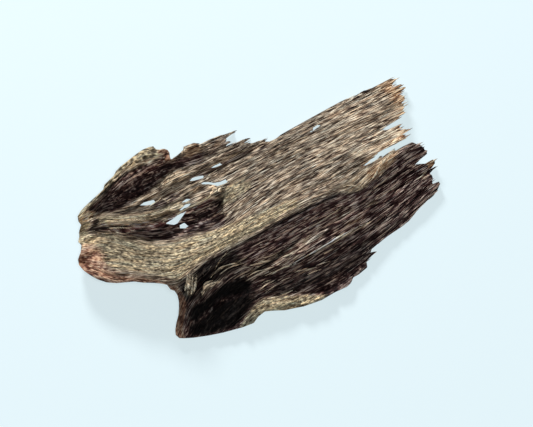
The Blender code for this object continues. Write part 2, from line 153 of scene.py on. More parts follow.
# The torn outline, clockwise as seen, from the left end over the top
raisedLip = [
    (-60.2, 24.6), (-60.5, 26.2), (-60.0, 28.1), (-58.0, 29.3), (-55.3, 30.3), (-49.0, 32.0), (-47.3, 32.5),
    (-46.2, 33.9), (-41.8, 35.2), (-40.3, 36.4), (-38.0, 37.2), (-34.0, 38.0), (-31.0, 38.7), (-28.0, 39.1),
    (-25.8, 38.9), (-24.2, 38.5), (-23.8, 37.0), (-22.8, 36.3), (-21.1, 35.9), (-20.2, 35.0), (-20.0, 33.8),
    (-20.7, 31.9), (-20.5, 31.1),
]
splinteredTop = [
    (-18.8, 31.4), (-16.5, 31.8), (-15.0, 32.3), (-14.4, 33.3), (-10.5, 32.9), (-8.2, 31.4), (-5.0, 31.4),
    (-2.0, 31.1), (4.9, 30.1), (3.9, 29.6), (1.0, 28.9), (0.5, 28.3), (1.4, 27.7), (0.2, 26.6), (0.3, 25.9),
    (6.5, 25.9), (8.7, 25.1), (7.2, 24.8), (6.2, 24.5), (6.6, 23.8), (9.5, 23.0), (13.5, 22.1), (14.4, 20.8),
]
farEdge = [
    (17.0, 20.7), (20.0, 21.2), (30.0, 21.6), (44.5, 22.1), (48.0, 22.0), (49.3, 21.3), (52.5, 21.7),
    (56.5, 21.3),
]
paleTips = [
    (64.8, 21.4), (66.3, 20.3), (65.4, 19.3), (62.8, 18.3), (66.6, 17.8), (67.5, 17.2), (66.5, 16.9),
    (67.9, 16.2), (67.6, 15.5), (64.9, 14.7), (66.1, 14.1), (65.2, 13.2), (65.8, 12.3), (64.1, 11.5),
    (65.3, 10.7), (63.6, 9.6), (62.8, 8.7), (62.9, 7.5), (61.0, 7.1), (57.0, 6.6), (51.2, 5.7), (55.0, 4.9),
    (60.2, 4.7), (58.9, 3.1), (61.7, 1.6), (59.6, 1.0), (60.6, 0.3), (58.8, 0.1), (58.3, -0.8),
]
forkGap = [
    (55.0, -1.0), (51.0, -0.8), (48.0, -0.9), (45.0, -1.6), (42.0, -2.3), (39.8, -2.9), (44.5, -3.3),
    (47.8, -2.3), (47.9, -3.3), (50.0, -2.7), (53.3, -2.3), (53.4, -3.2),
]
darkTips = [
    (56.5, -3.0), (60.4, -3.1), (61.4, -3.9), (63.1, -5.7), (63.5, -7.3), (64.3, -8.7), (63.6, -9.4),
    (60.0, -10.2), (57.3, -11.1), (59.3, -11.4), (61.3, -12.3), (64.7, -12.2), (65.0, -12.9), (64.6, -13.8),
    (62.4, -15.0), (64.8, -14.9), (61.3, -16.3), (61.5, -18.5), (60.1, -20.1), (63.0, -20.4), (62.4, -21.6),
    (60.7, -23.2),
]
nearSide = [
    (58.0, -24.0), (52.0, -25.8), (49.5, -27.0), (46.5, -28.2), (43.5, -28.8), (36.0, -29.7), (30.0, -31.0),
    (28.9, -32.0), (31.2, -32.7), (28.5, -33.3), (26.2, -34.2), (25.2, -36.2), (21.5, -37.0), (19.0, -37.1),
    (17.2, -38.5), (15.5, -39.0), (10.0, -38.8), (5.0, -39.1), (-1.5, -38.2), (-5.0, -37.2), (-8.5, -36.3),
    (-12.0, -34.6), (-15.0, -33.4), (-18.0, -34.0), (-20.5, -35.3), (-25.0, -34.8), (-32.0, -33.3),
    (-37.0, -31.9), (-42.0, -30.2), (-45.0, -28.9),
]
arch = [
    (-46.8, -27.9), (-47.4, -26.3), (-46.8, -24.7), (-45.4, -22.7), (-43.4, -20.5), (-42.0, -18.2),
    (-41.0, -16.2), (-40.4, -14.0), (-40.5, -12.0), (-41.6, -10.9), (-41.9, -8.8), (-43.5, -7.5),
    (-46.0, -6.0), (-49.0, -4.4), (-52.0, -2.4), (-55.0, -1.2), (-58.0, 0.0), (-61.0, 1.8), (-63.6, 4.4),
    (-65.2, 6.8),
]
leftEnd = [
    (-66.6, 9.4), (-67.3, 12.0), (-66.8, 13.9), (-64.6, 16.0), (-63.4, 18.0), (-63.9, 19.6), (-62.7, 21.2),
    (-62.2, 22.6),
]
outline = raisedLip + splinteredTop + farEdge + paleTips + forkGap + darkTips + nearSide + arch + leftEnd

# Slots that go right through the sheet
slots = {
    "lipSlot": [(-38.1, 21.3), (-36.4, 21.6), (-33.0, 20.8), (-32.8, 20.1), (-33.5, 19.5), (-36.0, 20.4)],
    "middleSlot": [(-18.0, 21.0), (-16.6, 21.6), (-14.5, 21.1), (-12.7, 20.7), (-13.3, 19.9), (-16.5, 20.6)],
    "farSlot": [(-8.8, 21.7), (-6.5, 22.1), (-4.6, 21.9), (-4.7, 21.2), (-7.0, 21.4)],
    "longTear": [(-14.9, 18.1), (-14.0, 18.5), (-11.9, 17.5), (-10.4, 16.4), (-8.6, 15.9), (-6.4, 15.8),
                 (-5.1, 14.8), (-6.2, 14.4), (-9.8, 14.9), (-12.0, 16.6)],
    "smallSlot": [(-24.1, 15.3), (-22.2, 15.7), (-20.7, 15.0), (-22.4, 14.9)],
    "crestSlot": [(-26.1, 13.3), (-23.4, 14.0), (-21.4, 13.4), (-22.5, 13.0), (-25.0, 12.9)],
    "cavityGap": [(-32.8, 11.1), (-28.8, 11.5), (-27.0, 12.1), (-25.8, 11.6), (-24.1, 11.8), (-26.6, 10.7),
                  (-28.8, 9.4), (-30.2, 9.5)],
    "cavityEye": [(-28.8, 7.4), (-28.4, 8.2), (-26.8, 8.3), (-26.0, 6.7), (-27.4, 6.5)],
    "edgePinhole": [(29.6, 17.2), (30.6, 17.9), (33.0, 18.2), (33.0, 17.5), (31.4, 17.1)],
}

# Lines of the grain from the top down, as x, y from left to right
grainLines = [
    [(-70, 31), (-60, 31), (-50, 36), (-40, 41.5), (-30, 43), (-22, 41), (-12, 37.5), (0, 36.5), (70, 38)],
    [(-70, 29), (-60, 27.9), (-54, 30.2), (-46, 33.2), (-38, 36.6), (-30, 38), (-22, 36.5), (-12, 34),
     (0, 32.5), (70, 33)],
    [(-70, 27.4), (-57, 26.8), (-50, 28.4), (-40, 30), (-30, 30.5), (-22, 30), (-12, 28), (0, 27), (70, 27)],
    [(-70, 25.6), (-57, 25.0), (-50, 24.6), (-43, 22.8), (-33, 22.2), (-22, 22.6), (-12, 22.3), (0, 22),
     (70, 22)],
    [(-70, 23.5), (-57, 22.8), (-52, 22.2), (-46, 19.6), (-38, 16.4), (-30, 14.8), (-20, 13.8), (-10, 13.2),
     (0, 13.6), (70, 13.5)],
    [(-70, 21.5), (-62, 20.8), (-57, 19.6), (-53, 17.6), (-48, 13.2), (-40, 7.6), (-33, 4.9), (-27, 3.6),
     (-20, 1.4), (-14, 1.2), (-7, 2.6), (0, 3.8), (12, 4.8), (70, 5.2)],
    [(-70, 17), (-61.7, 14.6), (-52, 9.5), (-44, 4.0), (-35, -0.6), (-26, -2.6), (-14, -2.8), (0, -1.6),
     (30, -0.8), (70, -0.6)],
    [(-70, 12), (-66, 8.5), (-58, 0.8), (-50, -3.4), (-43, -7.4), (-38, -9.2), (-31, -8.2), (-22, -6.8),
     (0, -6.5), (20, -6.3), (34, -7.2), (45, -5.0), (55, -3.9), (70, -4.2)],
    [(-70, -44), (-48, -25.5), (-44, -21.2), (-40, -17), (-36, -14.4), (-30, -12), (-22, -9.8), (-12, -9.4),
     (0, -9.4), (20, -9.2), (34, -9.8), (45, -7.8), (60, -5.6), (70, -5.8)],
    [(-70, -48), (-44, -30.2), (-38, -26.2), (-30, -22), (-22, -19.2), (-12, -18.6), (0, -18.5), (20, -17.5),
     (40, -16), (60, -13.5), (70, -13)],
    [(-70, -52), (-45, -37), (-35, -34), (-25, -31.8), (-15, -29.8), (-5, -31), (10, -31), (30, -29),
     (45, -26), (60, -22.5), (70, -20.5)],
    [(-70, -57), (-45, -42), (-35, -39.5), (-25, -38.5), (-15, -37.4), (-5, -40), (10, -41), (30, -37),
     (45, -33), (60, -29), (70, -27)],
]


def smoothStep(start, end, value):
    # 0 before start, 1 after end, s*s*(3-2s) between
    share = np.clip((value - start) / (end - start), 0, 1)
    return share * share * (3 - 2 * share)


def curveThrough(x, points):
    # y on the cubic curve through the points, each slope taken from the point's neighbours
    pointX, pointY = np.array(points, float)[:, :2].T
    slope = np.gradient(pointY, pointX)
    i = np.clip(np.searchsorted(pointX, x) - 1, 0, len(pointX) - 2)
    width = pointX[i + 1] - pointX[i]
    t = np.clip((x - pointX[i]) / width, 0, 1)
    start = (2 * t**3 - 3 * t**2 + 1) * pointY[i] + (t**3 - 2 * t**2 + t) * width * slope[i]
    end = (3 * t**2 - 2 * t**3) * pointY[i + 1] + (t**3 - t**2) * width * slope[i + 1]
    return start + end


def swell(x, y, sharpness, path):
    # 1 / (1 + 0.8 d^(2 sharpness + 1)), d the distance from the path in its own half widths
    height = np.zeros_like(x)
    for (x0, y0, half0), (x1, y1, half1) in zip(path[:-1], path[1:]):
        runX, runY = x1 - x0, y1 - y0
        t = np.clip(((x - x0) * runX + (y - y0) * runY) / (runX**2 + runY**2), 0, 1)
        distance = np.hypot(x - x0 - t * runX, y - y0 - t * runY) / (half0 + t * (half1 - half0))
        height = np.maximum(height, 1 / (1 + 0.8 * distance ** (2 * sharpness + 1)))
    return height


def groove(x, y, halfWidth, path):
    # exp(-(distance / halfWidth)^2) round the path, which tapers to nothing at both ends
    depth = np.zeros_like(x)
    pieces = len(path) - 1
    for i, ((x0, y0), (x1, y1)) in enumerate(zip(path[:-1], path[1:])):
        runX, runY = x1 - x0, y1 - y0
        t = np.clip(((x - x0) * runX + (y - y0) * runY) / (runX**2 + runY**2), 0, 1)
        distance = np.hypot(x - x0 - t * runX, y - y0 - t * runY) / halfWidth
        along = (i + t) / pieces
        taper = smoothStep(0, 0.25, along) * smoothStep(1, 0.75, along)
        depth = np.maximum(depth, np.exp(-(distance**2)) * taper)
    return depth


def cloud(u, v, seed):
    # Random heights from -1 to 1 on a lattice, joined smoothly both ways
    table = np.random.default_rng(seed).uniform(-1, 1, (256, 256))
    i, j = np.floor(u).astype(int), np.floor(v).astype(int)
    a, b = smoothStep(0, 1, u - i), smoothStep(0, 1, v - j)
    low = table[i % 256, j % 256] * (1 - a) + table[(i + 1) % 256, j % 256] * a
    high = table[i % 256, (j + 1) % 256] * (1 - a) + table[(i + 1) % 256, (j + 1) % 256] * a
    return low * (1 - b) + high * b


def bundles(along, across, length, width, seed):
    # Fibre bundles side by side, each broken into lengths at its own places: the height of the length,
    # and the rounded section sqrt(1 - (2f - 1)^2) across it
    random = np.random.default_rng(seed)
    level = random.uniform(-1, 1, (256, 256))
    start = random.uniform(0, 97, 256)
    order = across / width + 0.45 * cloud(along / (3 * length), across / (2.5 * width), seed + 1)
    strip = np.floor(order).astype(int)
    share = order - strip
    run = along / length + start[strip % 256]
    part = np.floor(run).astype(int)
    step = smoothStep(0.90, 1.0, run - part)
    height = level[strip % 256, part % 256] * (1 - step) + level[strip % 256, (part + 1) % 256] * step
    return height, np.sqrt(np.maximum(1 - (2 * share - 1) ** 2, 0))


def foldHeight(x, y):
    # The far plate falls evenly from the ridge; the near one drops first and then eases
    atRidge = curveThrough(x, fold["ridge"])
    top = curveThrough(x, [(point[0], point[2]) for point in fold["ridge"]])
    farShare = (y - atRidge) / (fold["farEdgeY"] - atRidge)
    nearShare = (atRidge - y) / (atRidge - curveThrough(x, fold["nearEdge"]))
    farPlate = fold["farEdgeHeight"] + (top - fold["farEdgeHeight"]) * np.maximum(1 - farShare, 0)
    fall = fold["steepDrop"] * smoothStep(0, fold["steepReach"], nearShare)
    fall += (1 - fold["steepDrop"]) * nearShare
    nearPlate = fold["nearEdgeHeight"] + (top - fold["nearEdgeHeight"]) * np.maximum(1 - fall, 0)
    wear = fold["ridgeWear"] * np.exp(-(((y - atRidge) / fold["ridgeSoftness"]) ** 2))
    return np.where(farShare > 0, farPlate, nearPlate) - wear


def largeRelief(x, y):
    # Long ridges, rise sin(2 pi (y + drift x) / width + start), and each named swell times its rise
    ridges = sum(rise * np.sin(2 * np.pi * (y + drift * x) / width + start)
                 for rise, width, drift, start in fold["grainRidges"])
    return ridges + sum(rise * swell(x, y, sharpness, path) for rise, sharpness, path in relief.values())


def area(x, y, loop, soft):
    # 1 well inside the loop, 0 well outside it, with a soft step of that width on its line
    distance, _, _ = toLoops(x, y, [loop])
    return smoothStep(soft, -soft, np.where(insideLoop(x, y, loop), -distance, distance))


def insideLoop(x, y, loop):
    # Counts how often a ray along +x crosses the loop
    inside = np.zeros(x.shape, bool)
    for (x0, y0), (x1, y1) in zip(loop, loop[1:] + loop[:1]):
        if y0 != y1:
            inside ^= ((y0 > y) != (y1 > y)) & (x < (x1 - x0) * (y - y0) / (y1 - y0) + x0)
    return inside


def toLoops(x, y, loops):
    # Distance to the nearest point of any loop, and that point
    best = np.full(x.shape, 1e9)
    nearX, nearY = np.zeros_like(x), np.zeros_like(y)
    for loop in loops:
        for (x0, y0), (x1, y1) in zip(loop, loop[1:] + loop[:1]):
            runX, runY = x1 - x0, y1 - y0
            t = np.clip(((x - x0) * runX + (y - y0) * runY) / (runX**2 + runY**2 + 1e-12), 0, 1)
            atX, atY = x0 + t * runX, y0 + t * runY
            distance = np.hypot(x - atX, y - atY)
            closer = distance < best
            best = np.where(closer, distance, best)
            nearX, nearY = np.where(closer, atX, nearX), np.where(closer, atY, nearY)
    return best, nearX, nearY


def insideWood(x, y):
    # Inside the outline and outside every slot
    wood = insideLoop(x, y, outline)
    for slot in wornSlots.values():
        wood &= ~insideLoop(x, y, slot)
    return wood


# Where each finish shows: how strong, how soft its border is, and its loop
# resin and painted shade: the wood's own dark resin, and darkness painted into the flank, the trough, the
# cavity, the pockets and the grooves where shade falls
resinAndShadeAreas = {
    "darkPlate": (1.0, 0.5, [(-38.6, -10.4), (-35, -9.6), (-31, -9.2), (-27, -7.9), (-22, -7.4),
                             (-15, -7.5), (-5, -7.0), (8, -6.6), (22, -6.8), (27, -7.4), (31, -8.4),
                             (36, -10.6), (40, -8.8), (47, -6.4), (53, -4.2), (58, -2.0), (70, -2.0),
                             (70, -30), (30, -45), (-20, -45), (-45, -31), (-44.5, -24.5), (-40.5, -19),
                             (-38.4, -14)]),
    "troughDark": (0.9, 1.2, [(-56, 28.4), (-47, 31.6), (-42, 33.6), (-34, 34.2), (-27, 33.2),
                              (-22, 34.0), (-20.6, 31), (-12, 30.5), (-8, 28), (-11, 25), (-18, 26.6),
                              (-22, 27.4), (-28, 26.4), (-32, 24.4), (-42, 23.4), (-48, 23.6),
                              (-54, 26)]),
    "cavityDark": (0.95, 0.9, [(-60, 22.4), (-55, 21.6), (-50, 18.8), (-44, 15.8), (-40, 14.6),
                               (-34, 12.8), (-26, 12.4), (-20, 12.1), (-14, 11.6), (-10.6, 9.5),
                               (-12.2, 5.0), (-13.8, 1.2), (-20, 1.1), (-24, 2.7), (-27, 4.0), (-33, 4.9),
                               (-36, 6.0), (-40, 8.4), (-44, 11.8), (-48, 14.2), (-51, 17.2),
                               (-56, 20.2)]),
    "plateShade": (0.34, 6.0, [(-10, 13), (14, 13), (18, 4), (-8, 3)]),
    "bandPocket": (0.85, 0.7, [(-34, 19.6), (-33, 17.2), (-28, 16.8), (-23.6, 17.6), (-22, 19), (-25, 20.2)]),
    "tongueGrooves": (0.55, 0.8, [(-22, 23.4), (-12, 22.6), (0, 21.8), (10, 21.6), (12, 20.6), (0, 20),
                                  (-16, 19.4)]),
    "lipPocket": (0.7, 0.6, [(-57, 24.2), (-54, 24.4), (-53.4, 22.8), (-56.6, 22.0)]),
    "topSplinters": (0.45, 1.5, [(-8, 31), (3, 30.4), (3, 26), (-10, 25)]),
}
mossAreas = {
    "oliveBand": (1.0, 1.6, [(-63, 12), (-60, 16.5), (-54, 18), (-50, 14.2), (-44, 9.4), (-38, 5),
                             (-33, 3.2), (-25, 2.0), (-15, 0.4), (0, -0.8), (14, -2.2), (14, -4.6),
                             (0, -5.8), (-15, -6.4), (-25, -6.2), (-31, -7.6), (-38, -9.0), (-42, -5.2),
                             (-47, -1.6), (-52, 2.0), (-58, 6)]),
    "leftMeeting": (0.9, 1.0, [(-64.8, 17), (-64.8, 20), (-62.4, 23.8), (-58.4, 25.0), (-56.6, 23.6),
                               (-59.8, 21.8), (-58.6, 19.6), (-54, 17.6), (-58, 16)]),
    "lipCrest": (0.95, 1.0, [(-61, 24), (-60, 28.8), (-46, 34.6), (-36, 39), (-23, 40), (-19, 34),
                             (-24, 34.8), (-30, 35.4), (-38, 35.2), (-46, 32), (-55, 28.6)]),
    "crestPale": (0.75, 1.0, [(-57, 25.6), (-50, 23.4), (-42, 19.4), (-33, 16.8), (-22, 15.8), (-22, 13.6),
                              (-34, 14.0), (-44, 17.4), (-54, 22.4)]),
    "besideWall": (0.9, 1.0, [(-11.4, 10.5), (-8, 13), (-1, 13), (1.6, 10.6), (-1, 8.2), (-7, 6.8),
                              (-11.4, 8)]),
    "hemPale": (0.85, 0.8, [(-26, -34.4), (-22, -31.9), (-18, -29.9), (-15, -28.8), (-10, -30.4),
                            (-5, -32.2), (0, -34.4), (4, -36.4), (8, -38.2), (4, -41), (-12, -37),
                            (-16, -35), (-22, -37)]),
}
rimAreas = {
    "leftEnd": (0.8, 3.2, [(-70, 5), (-70, 18), (-62, 18), (-59.0, 16), (-57.2, 11), (-58.4, 6.5),
                           (-55.4, 2.2), (-49.5, -1.8), (-44, -5.8), (-41.2, -8.6), (-39.2, -11.4),
                           (-39.0, -15.0), (-40.4, -18.4), (-43.2, -22.4), (-44.6, -25.4), (-44.4, -29.8),
                           (-50, -29), (-50, -24), (-43, -14), (-46, -9), (-58, -3)]),
    "archWall": (1.0, 0.6, [(-50, -2.2), (-46, -4.0), (-43, -7.2), (-40.6, -9.8), (-38.8, -12.6),
                            (-38.2, -15.2), (-39.2, -18.6), (-41.6, -22), (-44.2, -25.8), (-46.8, -28.6),
                            (-50, -26), (-46, -20), (-43.5, -14), (-44, -10), (-47, -7), (-52, -4)]),
    "lobeEnd": (0.8, 0.6, [(-23.8, 36.2), (-19.6, 36.2), (-19.6, 30.6), (-23, 31.2), (-22.6, 33.6)]),
}
rawAreas = {
    "paleEnds": (0.8, 4.0, [(60, 22), (70, 22), (70, 0), (56, -2), (58, 5), (61, 9)]),
    "leftKnuckle": (0.7, 0.8, [(-60.6, 24.8), (-60.2, 28), (-55.6, 28.2), (-53.6, 26.8), (-56.4, 24.6)]),
    "tongueEdge": (0.7, 1.4, [(40, -4.4), (46, -4.0), (54, -3.0), (54, -4.6), (49, -7.4), (42, -9.2),
                              (37, -9.4)]),
    "forkLip": (0.55, 1.0, [(40, -1.2), (50, 0.8), (60, 1.6), (60, -1.6), (50, -1.6), (40, -3.4)]),
    "orangeTip": (1.0, 0.8, [(61.4, -11.8), (66, -11.8), (66, -14.6), (62, -14.4)]),
    "redLobe": (0.55, 1.2, [(-17, 32.8), (-9, 33.2), (-9.4, 28.6), (-15, 28.4)]),
    "redFlank": (0.45, 1.6, [(24, -18), (34, -17.6), (34, -20), (25, -20.4)]),
}
paleAreas = {
    # on the flank, the knee, the split line, the lip's crest and the chip these pale places are partly
    # painted highlight where fibres catch the light, partly the fibres' own pale colour
    "rightPlate": (0.30, 14.0, [(30, 20), (68, 21), (68, 0), (34, 0)]),
    "kneeRib": (0.75, 0.9, [(-38.0, -14.6), (-33.6, -9.4), (-29.6, -9.2), (-34.4, -15.8), (-37.0, -16.6)]),
    "kneeRibThin": (0.55, 0.6, [(-25.4, -11.6), (-17, -8.0), (-15.6, -8.6), (-24, -12.2)]),
    "kneeBladeUpper": (0.6, 0.6, [(-29, -13.8), (-23, -12.0), (-13, -12.8), (-13, -13.8), (-23, -13.2)]),
    "kneeBladeLower": (0.75, 0.6, [(-33.6, -18.6), (-29.2, -15.2), (-24.4, -15.4), (-24.6, -16.6),
                                   (-29, -17.0)]),
    "shelfPale": (0.35, 2.0, [(-18, -16), (0, -16.2), (12, -15.6), (30, -12.0), (31, -15.6), (12, -20),
                              (0, -23), (-16, -22)]),
    "splitLip": (0.6, 0.5, [(6, -22.7), (14, -22.6), (24, -21.9), (34, -21.6), (34, -22.4), (20, -22.9),
                            (8, -23.4)]),
    "hemLine": (0.6, 0.4, [(-15.0, -28.4), (-9.5, -30.0), (-1, -30.9), (-1, -31.6), (-9.5, -31.0),
                           (-15, -29.4)]),
    "forkSwirl": (0.7, 1.2, [(29, -6.4), (36, -4.0), (41, -4.2), (40, -7.8), (36, -10.2), (32, -9.0)]),
    "tipFlecks": (0.6, 0.5, [(57.8, -14.8), (59.6, -14.8), (59.6, -17.6), (58, -17.6)]),
    "edgeFlecks": (0.5, 0.6, [(36, -15.3), (40, -15.5), (40, -17.6), (36, -17.2)]),
    "brightFleck": (0.8, 0.4, [(3.4, 8.7), (7.4, 8.8), (7.4, 9.4), (3.4, 9.3)]),
    "centralPatch": (0.9, 0.6, [(-29, 24.2), (-25, 26.2), (-20.6, 26.4), (-18.2, 23.4), (-20, 22.4),
                                (-26, 22.8)]),
    "bandChip": (0.8, 0.4, [(-30, 20), (-28.8, 19.6), (-28, 17.3), (-29, 17.4)]),
    "crestLine": (0.5, 0.6, [(-37.6, 35.6), (-29, 35.6), (-28, 33.8), (-30, 34.2), (-37, 34.8)]),
    "tongueTwo": (0.4, 1.4, [(36, 4.4), (62, 4.4), (61, 0.4), (40, 1.2)]),
}
# Where the wood has crumbled, so that no fibres show
crumbAreas = {
    "lowerLeft": (0.9, 4.0, [(-45, -24), (-38, -19.5), (-30, -20), (-18, -18), (-14, -21), (-14, -28),
                             (-20, -31), (-26, -34.5), (-36, -33), (-46, -30)]),
    "trough": (0.8, 1.5, [(-56, 27), (-46, 31), (-36, 31), (-22, 31), (-17, 28), (-24, 26.6), (-32, 24),
                          (-48, 24)]),
    "lip": (0.7, 1.2, [(-60, 27), (-46, 33), (-36, 38), (-24, 39), (-20, 33), (-30, 33), (-46, 31)]),
    "flankEnd": (0.6, 2.0, [(0, -32), (28, -31.6), (26, -37), (14, -39), (4, -37)]),
    "cavity": (0.4, 2.0, [(-40, 12), (-12, 11), (-14, 1), (-28, 4)]),
}
